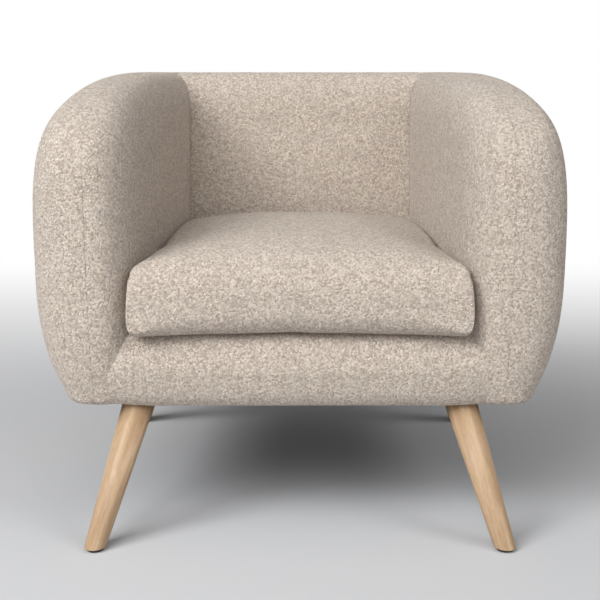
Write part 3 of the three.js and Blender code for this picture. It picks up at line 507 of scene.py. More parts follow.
def wall_grid(arm_cuts, back_cuts, rows, fine=True):
    """Points over the right half of the wall, by cut and by row, from the seat side over the crown."""
    places = [*cut_places(0, 3, arm_cuts, fine, fine), *cut_places(3, 4, back_cuts, fine, False)[1:]]
    cuts = [section(station_at(place)) for place in places]
    inner_feet = np.array([inside[0] for inside, _ in cuts])
    outer_feet = np.array([outside[-1] for _, outside in cuts])
    inner_rows = under_edge(inner_feet, level_inwards(inner_feet, -1))
    outer_rows = under_edge(outer_feet, level_inwards(outer_feet, 1))
    grid = []
    for i, (inside, outside) in enumerate(cuts):
        seat_side = spread(np.concatenate([inner_rows[::-1, i], inside]), rows, False, fine)
        far_side = spread(np.concatenate([outside, outer_rows[:, i]]), rows, fine, False)
        grid.append(np.concatenate([seat_side, far_side[1:]]))
    grid = np.array(grid)
    grid[-1, :, 0] = 0
    grid[:, :, 1] += front_y
    return grid


fine_grid = wall_grid(along_arm, along_back, across_half)
print("half of the wall has", fine_grid.shape[0], "cuts of", fine_grid.shape[1], "points")

# %% [markdown]
# ## The wall's covers
# A real tub chair is dressed in panels: one inside and one outside each arm, one inside and one outside
# the back. They meet in plain seams along the crown, down the front of each arm, and at the corners.
# One flat grid is laid over half the wall and mirrored, so that neighbours share their seam lines
# exactly. Then the whole skin is worked at once: cloth is drawn in along a seam, puckers a little
# beside it and lies very slightly uneven elsewhere. Last, it is parted into its six panels, and each
# gets the thickness of its cloth.

# %% The skin of the wall
cloth_thickness, weld_gap = 0.0015, 0.0003


def noise_at(point, size, seed=0.0):
    return noise.noise(Vector((point.x / size + seed, point.y / size - seed, point.z / size + seed)))


def grid_mesh(columns, rows):
    """A flat grid whose vertices carry their column and row."""
    skin = bmesh.new()
    bmesh.ops.create_grid(skin, x_segments=columns, y_segments=rows, size=1)
    column_layer = skin.verts.layers.int.new("column")
    row_layer = skin.verts.layers.int.new("row")
    for vertex in skin.verts:
        vertex[column_layer] = round((vertex.co.x + 1) / 2 * columns)
        vertex[row_layer] = round((vertex.co.y + 1) / 2 * rows)
    return skin, column_layer, row_layer


def run_across(grid, axis):
    """How far each point of a grid lies along its row or column, from the first one."""
    steps = np.linalg.norm(np.diff(grid, axis=axis), axis=2)
    start = np.zeros_like(steps.take([0], axis=axis))
    return np.concatenate([start, np.cumsum(steps, axis=axis)], axis=axis)


def run_rows(grid, start):
    run = run_across(grid, 1)
    return run - run[:, start:start + 1]


def run_columns(grid, start):
    run = run_across(grid, 0)
    return run - run[start:start + 1]


def lay_wall(grid, arm_cuts):
    """The whole wall's skin, from its half grid, with a number on each face for its panel."""
    columns, rows = grid.shape[0] - 1, grid.shape[1] - 1
    crown_row = rows // 2
    down = np.abs(run_rows(grid, crown_row))
    from_nose = run_columns(grid, 0)
    from_corner = np.abs(run_columns(grid, arm_cuts))
    skin, column_layer, row_layer = grid_mesh(columns, rows)
    panel_layer = skin.faces.layers.int.new("panel")
    seam_layer = skin.verts.layers.float.new("seam")
    for face in skin.faces:
        inside = sum(v[row_layer] for v in face.verts) / 4 < crown_row
        arm = sum(v[column_layer] for v in face.verts) / 4 < arm_cuts
        face[panel_layer] = (0 if arm else 4) + (0 if inside else 2)
    for vertex in skin.verts:
        i, k = vertex[column_layer], vertex[row_layer]
        vertex[seam_layer] = min(down[i, k], from_nose[i, k], from_corner[i, k])
        vertex.co = grid[i, k]
    bmesh.ops.reverse_faces(skin, faces=skin.faces[:])
    copy = bmesh.ops.duplicate(skin, geom=skin.verts[:] + skin.edges[:] + skin.faces[:])["geom"]
    other = [part for part in copy if isinstance(part, bmesh.types.BMVert)]
    flipped = [part for part in copy if isinstance(part, bmesh.types.BMFace)]
    bmesh.ops.scale(skin, vec=(-1, 1, 1), verts=other)
    bmesh.ops.reverse_faces(skin, faces=flipped)
    for face in flipped:
        face[panel_layer] += 1 if face[panel_layer] < 4 else 0
    joints = [v for v in skin.verts if v[column_layer] in (0, columns)]
    bmesh.ops.remove_doubles(skin, verts=joints, dist=weld_gap)
    skin.normal_update()
    return skin, panel_layer, seam_layer


skin, panel_layer, seam_layer = lay_wall(fine_grid, along_arm)
print("the skin has", len(skin.faces), "faces")

# %% [markdown]
# A seam is drawn in by about half a millimetre in a narrow line, with a shallow dip beside it that fades
# over about a centimetre. The puckers fade with it. Under the arms the hem is lifted a little, because
# there the photograph shows the cloth drawn up round the nose of the arm.

# %% Seams, puckers and slight waves
seam_depth, seam_width = 0.00045, 0.0013
dip_depth, dip_reach = 0.0003, 0.007
pucker_depth, pucker_reach, pucker_size = 0.0004, 0.014, 0.017
wave_depth, wave_size, wave_fade = 0.0008, 0.16, 0.03
nose_lift, nose_lift_from, nose_lift_over = 0.003, 0.22, 0.06
pucker_seed, wave_seed = 3.7, 11.3


def seam_draw(gap, point):
    """How far cloth is drawn in at a distance from its nearest seam."""
    line = seam_depth * math.exp(-((gap / seam_width) ** 2))
    dip = dip_depth * math.exp(-gap / dip_reach)
    pucker = pucker_depth * math.exp(-gap / pucker_reach) * noise_at(point, pucker_size, pucker_seed)
    return line + dip + pucker


def work_cloth(skin, seam_layer):
    """Draws the cloth in along its seams, lets it wave a little and lifts the hem under the arms."""
    moves = []
    for vertex in skin.verts:
        gap = vertex[seam_layer]
        wave = wave_depth * noise_at(vertex.co, wave_size, wave_seed)
        draw = seam_draw(gap, vertex.co) + wave * min(gap / wave_fade, 1)
        outward = min(max((abs(vertex.co.x) - nose_lift_from) / nose_lift_over, 0), 1)
        hem = max(1 - (vertex.co.z - wall_bottom) / nose_lift_over, 0)
        moves.append((vertex, vertex.normal * -draw + Vector((0, 0, nose_lift * outward * hem))))
    for vertex, move in moves:
        vertex.co += move


work_cloth(skin, seam_layer)
print("the seams are", seam_depth * 1000, "mm deep")

# %% [markdown]
# Each panel is cut out of the skin as an object of its own. Inside the seat the panels end where they
# are tacked to the rails, just under the seat deck.

# %% Parting the skin into panels
tack_clearance, tack_overlap = 0.0006, 0.014
tack_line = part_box("left_seat_rail")[1].z + tack_clearance
tack_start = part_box("front_rail_cover")[1].y - tack_overlap
collection = bpy.context.scene.collection


def finish_object(name, mesh_data, material, body="chair", smooth=True):
    """Makes the object of a finished mesh, gives it its material and lets it ride on a body."""
    mesh = bpy.data.meshes.new(name)
    mesh_data.to_mesh(mesh)
    mesh_data.free()
    mesh.materials.append(material)
    if smooth:
        mesh.shade_smooth()
    piece = bpy.data.objects.new(name, mesh)
    collection.objects.link(piece)
    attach(piece, body)
    return piece


def thicken(piece, thickness):
    solid = piece.modifiers.new("cloth thickness", "SOLIDIFY")
    solid.thickness = thickness
    solid.offset = -1


def tack_off(skin, panel_layer, inside_panels):
    """Trims the inside panels along the rails, behind the front rail."""
    faces = [f for f in skin.faces if f[panel_layer] in inside_panels]
    faces = [f for f in faces if min(v.co.y for v in f.verts) > tack_start]
    edges = {e for f in faces for e in f.edges}
    verts = {v for f in faces for v in f.verts}
    bmesh.ops.bisect_plane(
        skin, geom=[*verts, *edges, *faces], plane_co=(0, 0, tack_line), plane_no=(0, 0, -1),
        clear_outer=True,
    )


def cut_panel(skin, wanted):
    panel = skin.copy()
    layer = panel.faces.layers.int["panel"]
    bmesh.ops.delete(panel, geom=[f for f in panel.faces if f[layer] != wanted], context="FACES")
    return panel


def panel_cuts(grid, arm_cuts):
    """The width and length of the cloth that each panel of the wall is cut from, over its face."""
    crown_row = grid.shape[1] // 2
    girth = np.abs(run_rows(grid, crown_row))
    along = run_columns(grid, 0)
    arm_run = along[arm_cuts]
    back_run = 2 * (along[-1] - arm_run)
    cuts = {}
    halves = (("inside", slice(0, crown_row + 1), 0), ("outside", slice(crown_row, None), -1))
    for place, rows, edge in halves:
        cuts[f"arm_{place}"] = (girth[:arm_cuts + 1, edge].max(), arm_run[rows].max())
        cuts[f"{place}_back"] = (girth[arm_cuts:, edge].max(), back_run[rows].max())
    return cuts


tack_off(skin, panel_layer, (0, 1, 4))
sides = {"right": 0, "left": 1}
covers = {}
for side, turn in sides.items():
    for place, base in (("inside", 0), ("outside", 2)):
        name = f"{side}_arm_{place}_cover"
        covers[name] = cut_panel(skin, base + turn)
covers["inside_back_cover"] = cut_panel(skin, 4)
covers["outside_back_cover"] = cut_panel(skin, 6)
skin.free()
panel_sizes = panel_cuts(fine_grid, along_arm)
wall_panels = {}
for name, panel in covers.items():
    piece = finish_object(f"{name}_cloth", panel, cloth)
    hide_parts(name)
    thicken(piece, cloth_thickness)
    wall_panels[name] = piece
    print(name, "has", len(piece.data.polygons), "faces")

# %% [markdown]
# Under the cloth lies the foam. It follows the same wall a few millimetres further in, with wider steps,
# because nothing of it shows. Each arm and the back has its own pad, as the real frame has.

# %% The foam under the wall's covers
foam_inset, foam_thickness = 0.0042, 0.014


def make_plain(name, light, dark, scale, roughness, height, **fixed):
    """A finish with a soft mottle of two colours and a fine grain."""
    material, tree, shader = new_material(name, roughness, **fixed)
    mottle = add_node(
        tree, "ShaderNodeTexNoise", Scale=scale, Detail=4.0, Vector=object_position(tree),
    )
    color = mix_colors(tree, mottle.outputs["Fac"], dark, light)
    fill(tree, shader, Base_Color=color)
    bump(tree, shader, mottle.outputs["Fac"], height)
    return material


foam = make_plain(
    "cream foam", linear(232, 220, 190), linear(206, 190, 156), scale=600.0, roughness=0.9, height=0.0006,
)


def sink(mesh_data, depth):
    """Moves a skin inwards along its own normals."""
    mesh_data.normal_update()
    moves = [(vertex, vertex.normal * -depth) for vertex in mesh_data.verts]
    for vertex, move in moves:
        vertex.co += move


def cut_pad(skin, wanted):
    pad = skin.copy()
    layer = pad.faces.layers.int["panel"]
    bmesh.ops.delete(pad, geom=[f for f in pad.faces if f[layer] not in wanted], context="FACES")
    return pad


def finish_pad(name, pad):
    piece = finish_object(f"{name}_foam", pad, foam)
    thicken(piece, foam_thickness)
    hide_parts(name)


pad_cuts, pad_back_cuts, pad_rows = 56, 22, 40
pad_skin, pad_layer, _ = lay_wall(wall_grid(pad_cuts, pad_back_cuts, pad_rows, fine=False), pad_cuts)
sink(pad_skin, foam_inset)
tack_off(pad_skin, pad_layer, (0, 1, 4))
finish_pad("right_arm_padding", cut_pad(pad_skin, (0, 2)))
finish_pad("left_arm_padding", cut_pad(pad_skin, (1, 3)))
finish_pad("back_padding", cut_pad(pad_skin, (4, 6)))
pad_skin.free()
print("the foam lies", foam_inset * 1000, "mm under the cloth's face")

# %% [markdown]
# ## The front rail
# A padded rail closes the seat at the front. Its cover rolls over the top, runs down the face with the
# taper of the arms and turns under in a soft curve. Its ends run into the arms along a line that depends
# on both shapes, so each point of the rail's outline looks for the arm's cover with a ray, and its row
# stops there.

# %% The front rail's cover
rail_face, rail_lip, rail_top = 0.0032, 0.062, 0.3202
rail_roll_depth, rail_roll_height, rail_squareness = 0.042, 0.058, 2.1
rail_under_depth, rail_under_height = 0.012, 0.028
rail_columns, rail_rows = 150, 76
round_steps, face_steps = 32, 16
rail_end_gap = 0.0002


def rail_outline():
    """The rail's outline across, from the back of its top, down its face and under it."""
    roll_foot_z = rail_top - rail_roll_height
    under_top = wall_bottom + rail_under_height

    def face(z):
        return rail_face + front_taper * lower_draw(z)

    points = [(rail_lip, rail_top)]
    for i in range(round_steps + 1):
        across, up = rounded_quarter(quarter * (1 - i / round_steps), rail_squareness)
        setback = face(roll_foot_z) + rail_roll_depth * (1 - across)
        points.append((setback, roll_foot_z + rail_roll_height * up))
    for i in range(1, face_steps + 1):
        z = mixed(roll_foot_z, under_top, i / face_steps)
        points.append((face(z), z))
    for i in range(1, round_steps + 1):
        turn = quarter * i / round_steps
        z = under_top - rail_under_height * math.sin(turn)
        points.append((face(z) + rail_under_depth * (1 - math.cos(turn)), z))
    points.append((points[-1][0] + turn_under, wall_bottom))
    outline = np.array([(0, setback + front_y, z) for setback, z in points])
    return spread(outline, rail_rows, False, False)


def tree_of(piece):
    shape = bmesh.new()
    shape.from_mesh(piece.data)
    tree = BVHTree.FromBMesh(shape)
    shape.free()
    return tree


def rail_mesh(inset, columns, end_gap, fine=False):
    """The rail's skin between the arms, sunk by an inset, with the ends of each of its rows."""
    outline = rail_outline()
    direction = np.gradient(outline, axis=0)
    inward = np.stack([np.zeros(len(outline)), -direction[:, 2], direction[:, 1]], axis=1)
    outline = outline + inward / np.linalg.norm(inward, axis=1)[:, None] * inset
    reach = {}
    for side, sign in (("left", -1), ("right", 1)):
        tree = tree_of(wall_panels[f"{side}_arm_inside_cover"])
        found = []
        for point in outline:
            hit = tree.ray_cast(Vector(point), Vector((sign, 0, 0)))[0]
            found.append(abs(hit.x) if hit else None)
        known = [(i, x) for i, x in enumerate(found) if x]
        reach[side] = np.interp(range(len(found)), *zip(*known)) - end_gap
    mesh, column_layer, row_layer = grid_mesh(columns, rail_rows)
    seam = mesh.verts.layers.float.new("seam")
    for vertex in mesh.verts:
        i, k = vertex[column_layer], vertex[row_layer]
        left, right = reach["left"][k], reach["right"][k]
        shares = shares_along(left + right, columns, fine, fine)
        vertex.co = (shares[i] - left, outline[k][1], outline[k][2])
        vertex[seam] = min(shares[i], left + right - shares[i])
    mesh.normal_update()
    if sum(face.normal.y for face in mesh.faces) > 0:
        bmesh.ops.reverse_faces(mesh, faces=mesh.faces[:])
        mesh.normal_update()
    return mesh, seam, reach


rail, seam, reach = rail_mesh(0, rail_columns, rail_end_gap, fine=True)
work_cloth(rail, seam)
rail_cover = finish_object("front_rail_cover_cloth", rail, cloth)
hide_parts("front_rail_cover")
float(run_of(rail_outline())[-1])
thicken(rail_cover, cloth_thickness)
rail_pad, _, _ = rail_mesh(foam_inset, rail_columns // 4, foam_inset)
finish_pad("front_rail_padding", rail_pad)
print("the rail is", round(float(max(reach["left"]) + max(reach["right"])), 3), "m wide")

# %% [markdown]
# ## The seat cushion
# The loose cushion is a boxed block of foam under a softer wrap. Its top panel runs down over the front
# in one piece, and a gusset with its seams goes round the sides and the back. Foam under cloth swells
# between its edges, which is hard to draw and easy to simulate. So a plain block, domed a little, is
# inflated by Blender's cloth solver, and every point keeps only a share of what it travelled. The top
# rises, the faces between the corners draw in, and the corners stay where the cutter put them.

# %% The block that is blown up
front_clearance, rear_clearance, side_clearance = 0.0005, 0.0004, 0.001
cushion_front = front_y + front_clearance
cushion_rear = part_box("cushion_cover")[1].y - rear_clearance
cushion_bottom, cushion_edge = 0.3206, 0.4185
front_round, under_round, rear_round, side_round = 0.042, 0.034, 0.012, 0.015
nose_flare, nose_flare_from = 0.0035, 0.035
voxel, ease_segments, hair = 0.006, 6, 1e-6
middle_y, half_depth = (cushion_front + cushion_rear) / 2, (cushion_rear - cushion_front) / 2
middle_z, half_height = (cushion_bottom + cushion_edge) / 2, (cushion_edge - cushion_bottom) / 2


def cushion_half(y):
    """Half the cushion's width at a depth: it follows the arms, and opens where their noses turn away."""
    setback = y - front_y
    opening = nose_flare * np.clip(1 - (setback - nose_flare_from) / nose_flare_from, 0, 1)
    return inner_front - closing * setback / corner_depth - side_clearance + opening


def ease_edges(shape, edges, offset, segments):
    bmesh.ops.bevel(
        shape, geom=edges, offset=offset, segments=segments, profile=0.5, affect="EDGES", material=-1,
    )


def cushion_block():
    """A cube with a soft front edge, then eased all round both side outlines."""
    block = bmesh.new()
    bmesh.ops.create_cube(block, size=2)
    half = cushion_half(cushion_front)
    bmesh.ops.scale(block, vec=(half, half_depth, half_height), verts=block.verts[:])
    bmesh.ops.translate(block, vec=(0, middle_y, middle_z), verts=block.verts[:])

    def crosses(a, b):
        return a.x * b.x < 0

    def ease(wanted, offset):
        edges = [edge for edge in block.edges if wanted(*(vertex.co for vertex in edge.verts))]
        ease_edges(block, edges, offset, ease_segments)

    def under_front(a, b):
        return crosses(a, b) and a.y < cushion_front + hair and a.z < cushion_bottom + hair

    def on_side(a, b):
        return not crosses(a, b) and min(abs(a.x), abs(b.x)) > half - hair

    ease(lambda a, b: crosses(a, b) and a.y < middle_y and a.z > middle_z, front_round)
    ease(under_front, under_round)
    ease(lambda a, b: crosses(a, b) and a.y > cushion_rear - hair, rear_round)
    ease(on_side, side_round)
    return block


def remeshed(mesh_data, name, size):
    """An even mesh of small squares over a closed shape."""
    mesh = bpy.data.meshes.new(name)
    mesh_data.to_mesh(mesh)
    mesh_data.free()
    piece = bpy.data.objects.new(name, mesh)
    collection.objects.link(piece)
    remesh = piece.modifiers.new("even squares", "REMESH")
    remesh.mode = "VOXEL"
    remesh.voxel_size = size
    return apply_modifiers(piece)


def apply_modifiers(piece):
    graph = bpy.context.evaluated_depsgraph_get()
    mesh = bpy.data.meshes.new_from_object(piece.evaluated_get(graph))
    piece.modifiers.clear()
    piece.data = mesh
    return piece


def read_rows(parts, label):
    """One vector of each part of a mesh, as the rows of an array."""
    found = np.zeros(len(parts) * 3)
    parts.foreach_get(label, found)
    return found.reshape(-1, 3)


def points_of(mesh):
    return read_rows(mesh.vertices, "co")


def set_points(mesh, points):
    mesh.vertices.foreach_set("co", points.ravel())
    mesh.update()


cushion = remeshed(cushion_block(), "seat_cushion", voxel)
print("the cushion starts as", len(cushion.data.vertices), "points")

# %% [markdown]
# The block is domed and drawn in to the shape of the seat before it is blown up. Each point also keeps
# its place on the plain block as an attribute. The solver and the subdivision carry that along, so a
# seam can be found later by where it lay on the block.

# %% Doming the block
start_crown, crown_from, crown_power = 0.026, -0.2, 2.4
rear_fall, front_fall, front_power = 0.75, 0.6, 5
side_rise, rear_rise, rise_peak = 0.0105, 0.0085, 0.45
middle_rise = 0.5
rear_corner_drop, rear_corner_draw, corner_power = 0.004, 0.02, 6
low_spread = 0.012


def remember_places(mesh):
    layer = mesh.attributes.new("block place", "FLOAT_VECTOR", "POINT")
    layer.data.foreach_set("vector", points_of(mesh).ravel())


def fitted(points):
    """The block's points, domed on top, a little higher at the rear and narrower between the arms."""
    points = points.copy()
    across = np.abs(points[:, 0]) / cushion_half(cushion_front)
    along = (points[:, 1] - middle_y) / half_depth
    upper = np.clip((points[:, 2] - cushion_bottom) / (2 * half_height), 0, 1)
    behind = np.clip((along - crown_from) / (1 - crown_from), 0, 1)
    ahead = np.clip(-along, 0, 1) ** front_power
    full = np.clip(1 - across**crown_power, 0, 1) * (1 - ahead * front_fall)
    full *= 1 - rear_fall * behind**2
    rise = np.interp(along, (crown_from, rise_peak, 1), (0, side_rise, rear_rise))
    rise *= mixed(middle_rise, 1, across**2)
    near_rear = np.clip((along - rise_peak) / (1 - rise_peak), 0, 1) ** 2
    drop = rear_corner_drop * near_rear * across**corner_power
    points[:, 2] += upper * (start_crown * full + rise - drop)
    points[:, 0] *= cushion_half(points[:, 1]) / cushion_half(cushion_front)
    points[:, 0] *= 1 + low_spread * (1 - upper) - rear_corner_draw * near_rear**3
    return points


remember_places(cushion.data)
set_points(cushion.data, fitted(points_of(cushion.data)))
print("the dome stands at", round(float(points_of(cushion.data)[:, 2].max()), 4))

# %% [markdown]
# The solver runs for twenty frames with pressure inside and no gravity. The travel is evened over
# neighbours, so that no wrinkle of the solver stays, then shared out and capped.

# %% Inflating the cushion
travel_share, travel_cap = 0.23, 0.014
cushion_pressure, evening_rounds = 4.0, 14
frames = 20


def evened(mesh, values, rounds):
    """Values at the points of a mesh, each averaged with its neighbours some rounds over."""
    edges = np.zeros(len(mesh.edges) * 2, dtype=np.int64)
    mesh.edges.foreach_get("vertices", edges)
    ends = edges.reshape(-1, 2)
    degree = np.bincount(edges, minlength=len(values))[:, None]
    for _ in range(rounds):
        total = np.zeros_like(values)
        np.add.at(total, ends[:, 0], values[ends[:, 1]])
        np.add.at(total, ends[:, 1], values[ends[:, 0]])
        values = (values + total / degree) / 2
    return values


def inflate(piece, pressure, share, cap):
    before = points_of(piece.data)
    cloth_solver = piece.modifiers.new("inflate", "CLOTH")
    settings = cloth_solver.settings
    settings.quality = 6
    settings.mass = 0.3
    settings.use_pressure = True
    settings.uniform_pressure_force = pressure
    settings.tension_stiffness = settings.compression_stiffness = 15
    settings.shear_stiffness = 8
    settings.bending_stiffness = 3
    settings.effector_weights.gravity = 0
    cloth_solver.collision_settings.use_collision = False
    scene = bpy.context.scene
    for frame_number in range(1, frames + 1):
        scene.frame_set(frame_number)
    apply_modifiers(piece)
    scene.frame_set(1)
    travel = evened(piece.data, points_of(piece.data) - before, evening_rounds) * share
    length = np.linalg.norm(travel, axis=1, keepdims=True)
    set_points(piece.data, before + travel * np.minimum(1, cap / np.maximum(length, hair)))
    print("travel up to", round(float(length.max()) * 1000, 1), "mm, capped at", cap * 1000)


print("the solver is set to", frames, "frames at a pressure of", cushion_pressure)

# %% [markdown]
# A loose cushion is cut to fill its seat, and the solver knows nothing of the seat. So what comes out is
# laid into the tub: its length and its sides fill the room between the arms, its bottom lies flat on the
# deck, and the lower edge of its front hangs over the rail's roll a little. One round of Subdivision
# Surface then gives squares that are fine enough for seams.

# %% Laying the cushion into the tub
fill_margin, fill_step, fill_reach, stretch_limit = 0.04, 0.01, 0.008, 1.03
corner_push, corner_reach, lower_start = 0.018, 0.06, 0.02
middle_droop, side_droop, droop_reach, droop_power = 0.003, 0.0065, 0.09, 1.5
droop_end, droop_fade = 0.04, 0.014


def filled(points):
    """Spreads the cushion until its sides rest against the arms all along."""
    stations = np.arange(cushion_front + fill_margin, cushion_rear - fill_margin, fill_step)
    near = [np.abs(points[:, 1] - y) < fill_reach for y in stations]
    halves = np.array([np.abs(points[rows, 0]).max() for rows in near])
    stretch = np.clip(cushion_half(stations) / halves, 1, stretch_limit)
    points[:, 0] *= np.interp(points[:, 1], stations, stretch)
    return points


def front_shares(points, reach):
    """How far across each point lies, and how near it is to the lower edge of the front."""
    across = np.abs(points[:, 0]) / cushion_half(cushion_front)
    near = np.clip(1 - (points[:, 1] - cushion_front) / reach, 0, 1)
    lower = np.clip((middle_z + lower_start - points[:, 2]) / half_height, 0, 1)
    return across, near * lower


def cornered(points):
    """Brings the lower corners of the front forward, where the side outlines hold the cloth."""
    across, near = front_shares(points, corner_reach)
    points[:, 1] -= corner_push * across**corner_power * near
    return points


def drooped(points):
    """Lets the lower edge of the front hang over the rail's roll, more towards its corners."""
    across, near = front_shares(points, droop_reach)
    droop = middle_droop + (side_droop - middle_droop) * np.clip(across, 0, 1) ** droop_power
    over_rail = np.clip((cushion_front + droop_end - points[:, 1]) / droop_fade, 0, 1)
    points[:, 2] -= droop * near * over_rail
    return points


def lengthened(points):
    """Scales the front and the rear half so that the cushion just fills its length."""
    front, rear = points[:, 1].min(), points[:, 1].max()
    print("blown up, the cushion runs from", round(float(front), 4), "to", round(float(rear), 4))
    front_share, rear_share = half_depth / (middle_y - front), half_depth / (rear - middle_y)
    share = np.where(points[:, 1] < middle_y, front_share, rear_share)
    points[:, 1] = middle_y + (points[:, 1] - middle_y) * share
    return points


def laid_in(points):
    """Lays the cushion's bottom flat on the deck and keeps its sides inside the tub."""
    points = cornered(filled(lengthened(points)))
    halves = cushion_half(points[:, 1])
    points[:, 0] = np.clip(points[:, 0], -halves, halves)
    points[:, 1] = np.clip(points[:, 1], cushion_front, cushion_rear)
    points[:, 2] = np.maximum(points[:, 2], cushion_bottom)
    return drooped(points)


inflate(cushion, cushion_pressure, travel_share, travel_cap)
set_points(cushion.data, laid_in(points_of(cushion.data)))
smooth = cushion.modifiers.new("finer cloth", "SUBSURF")
smooth.levels = smooth.render_levels = 1
apply_modifiers(cushion)
print("the cushion has", len(cushion.data.polygons), "faces")

# %% [markdown]
# Seams come after the solver. The gusset is sewn to the top and bottom panels round both side outlines,
# and along two lines across the back. Its back strip holds the zip, so it is pressed flat there. The
# cloth is drawn in along each seam and puckers beside it.

# %% The cushion's seams
cushion_seam_depth, cushion_seam_width = 0.0016, 0.0028
seam_margin, past_seam = 0.004, 4
ruffle_depth, ruffle_size, ruffle_reach, ruffle_seed = 0.0007, 0.011, 0.009, 5.1
slack_depth, slack_size, slack_seed = 0.0007, 0.07, 8.3
zip_flat, zip_flat_full, bed_gap = 0.012, 1.6, 0.0002
zip_low, zip_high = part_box("cushion_zip")
zip_middle = (zip_low.z + zip_high.z) / 2
zip_bed = zip_low.y - bed_gap


def seam_gaps(places):
    """How far each place on the plain block lies from its nearest seam."""
    half = cushion_half(cushion_front)
    past_ends = np.abs(places[:, 1] - middle_y) - half_depth
    past_faces = np.abs(places[:, 2] - middle_z) - half_height
    from_side = np.clip(half - seam_margin - np.abs(places[:, 0]), 0, None) * past_seam
    from_outline = np.abs(np.maximum(past_ends, past_faces) + side_round)
    from_rear = np.clip(cushion_rear - seam_margin - places[:, 1], 0, None) * past_seam
    from_lines = np.abs(np.abs(places[:, 2] - middle_z) - (half_height - rear_round))
    return np.minimum(from_outline + from_side, from_rear + from_lines)


def sew(mesh):
    """Draws the cloth in along the seams, ruffles it beside them and presses the zip's bed flat."""
    gaps = seam_gaps(read_rows(mesh.attributes["block place"].data, "vector"))
    normals = read_rows(mesh.vertices, "normal")
    points = points_of(mesh)
    ruffle = np.array([noise_at(Vector(p), ruffle_size, ruffle_seed) for p in points])
    slack = np.array([noise_at(Vector(p), slack_size, slack_seed) for p in points])
    draw = cushion_seam_depth * np.exp(-((gaps / cushion_seam_width) ** 2))
    draw += ruffle_depth * ruffle * np.exp(-gaps / ruffle_reach) + slack_depth * slack
    points -= normals * draw[:, None]
    at_rear = points[:, 1] > cushion_rear - zip_flat
    at_zip = at_rear & (np.abs(points[:, 0]) < zip_high.x + zip_flat)
    near = np.clip(zip_flat_full - np.abs(points[:, 2] - zip_middle) / zip_flat, 0, 1) * at_zip
    points[:, 1] = mixed(points[:, 1], zip_bed, near)
    mesh.attributes.remove(mesh.attributes["block place"])
    set_points(mesh, points)


sew(cushion.data)
cushion.data.materials.clear()
cushion.data.materials.append(cloth)
cushion.data.shade_smooth()
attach(cushion, "cushion")
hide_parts("cushion_cover", "cushion_foam")
low, high = points_of(cushion.data).min(0), points_of(cushion.data).max(0)
print("the cushion measures", (high - low).round(4), "from", low.round(4), "to", high.round(4))

# %% [markdown]
# ## The zip in the cushion's back
# A coil zip is two rows of nylon turns on woven tape. Each turn is a short bent rod, and the rows are
# staggered so that they lock. The turns are laid by a loop, and the cloth of the gusset is folded back
# into a soft lip above and below them.

# %% Coil, tape and lips
zip_tape = make_plain(
    "zip tape", linear(150, 136, 122), linear(122, 108, 96), scale=1200.0, roughness=0.85, height=0.0003,
)
zip_metal = make_plain(
    "zip metal", linear(176, 172, 166), linear(130, 126, 122), scale=500.0, roughness=0.3, height=0.0002,
    Metallic=1.0,
)
coil_nylon = make_plain(
    "coil nylon", linear(172, 158, 142), linear(146, 132, 118), scale=900.0, roughness=0.45, height=0.0001,
)
turn_pitch, turn_radius, turn_length = 0.0017, 0.00058, 0.0036
turn_taper, turn_shift, turn_sides, coil_margin = 0.75, 0.28, 8, 0.002
turn_count = 2 * int((zip_high.x - zip_low.x - 2 * coil_margin) / turn_pitch)
strip_wave, strip_wave_size, strip_seed = 0.0002, 0.013, 2.2
tape_half, tape_sink, tape_thickness = 0.0042, 0.0004, 0.0005
lip_height, lip_depth, lip_gap, lip_overrun = 0.0034, 0.0016, 0.0024, 0.004
profile_points, tape_columns, lip_columns = 9, 120, 160


def lay_turns(shape):
    """Two staggered rows of rounded rods, one above and one below the middle of the zip."""
    for i in range(turn_count):
        x = zip_low.x + coil_margin + i * turn_pitch / 2
        rod = bmesh.ops.create_cone(
            shape, cap_ends=True, segments=turn_sides, radius1=turn_radius,
            radius2=turn_radius * turn_taper, depth=turn_length,
        )["verts"]
        side = 1 if i % 2 else -1
        bmesh.ops.scale(shape, vec=(1, 1, -side), verts=rod)
        place = (x, zip_high.y - turn_radius, zip_middle + side * turn_length * turn_shift)
        bmesh.ops.translate(shape, vec=place, verts=rod)
    bmesh.ops.recalc_face_normals(shape, faces=shape.faces[:])


turns = bmesh.new()
lay_turns(turns)
coil = finish_object("zip_coil", turns, coil_nylon, "cushion")
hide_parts("cushion_zip")


def long_strip(half_length, columns, profile):
    """A strip along X whose rows follow a profile of depth and height."""
    strip, column_layer, row_layer = grid_mesh(columns, len(profile) - 1)
    for vertex in strip.verts:
        depth, height = profile[vertex[row_layer]]
        place = Vector((half_length * (2 * vertex[column_layer] / columns - 1), depth, height))
        wave = strip_wave * noise_at(place, strip_wave_size, strip_seed)
        vertex.co = place + Vector((0, wave, wave))
    bmesh.ops.recalc_face_normals(strip, faces=strip.faces[:])
    return strip


tape_heights = np.linspace(-tape_half, tape_half, profile_points)
tape_rows = [(zip_bed + tape_sink, zip_middle + height) for height in tape_heights]
tape = finish_object("zip_tape", long_strip(zip_high.x, tape_columns, tape_rows), zip_tape, "cushion")
thicken(tape, tape_thickness)
for label, side in (("upper", 1), ("lower", -1)):
    rows = []
    for turn in np.linspace(0, math.pi, profile_points):
        height = zip_middle + side * (lip_gap + lip_height / 2 * (1 - math.cos(turn)))
        rows.append((zip_bed + lip_depth * math.sin(turn), height))
    strip = long_strip(zip_high.x + lip_overrun, lip_columns, rows)
    lip = finish_object(f"zip_lip_{label}", strip, cloth, "cushion")
    thicken(lip, tape_thickness)
print("the zip has", turn_count, "turns")

# %% [markdown]
# The slider is a small casting. It is narrower where the coil closes, and a bridge on top holds a long
# pull. A cube with one end scaled down makes the body, and a squashed cylinder makes the bridge. Cast
# metal has no knife edges, so every sharp edge is eased. The pull starts as two circles, bridged into a
# ring whose lower half is drawn out, and is then made solid.

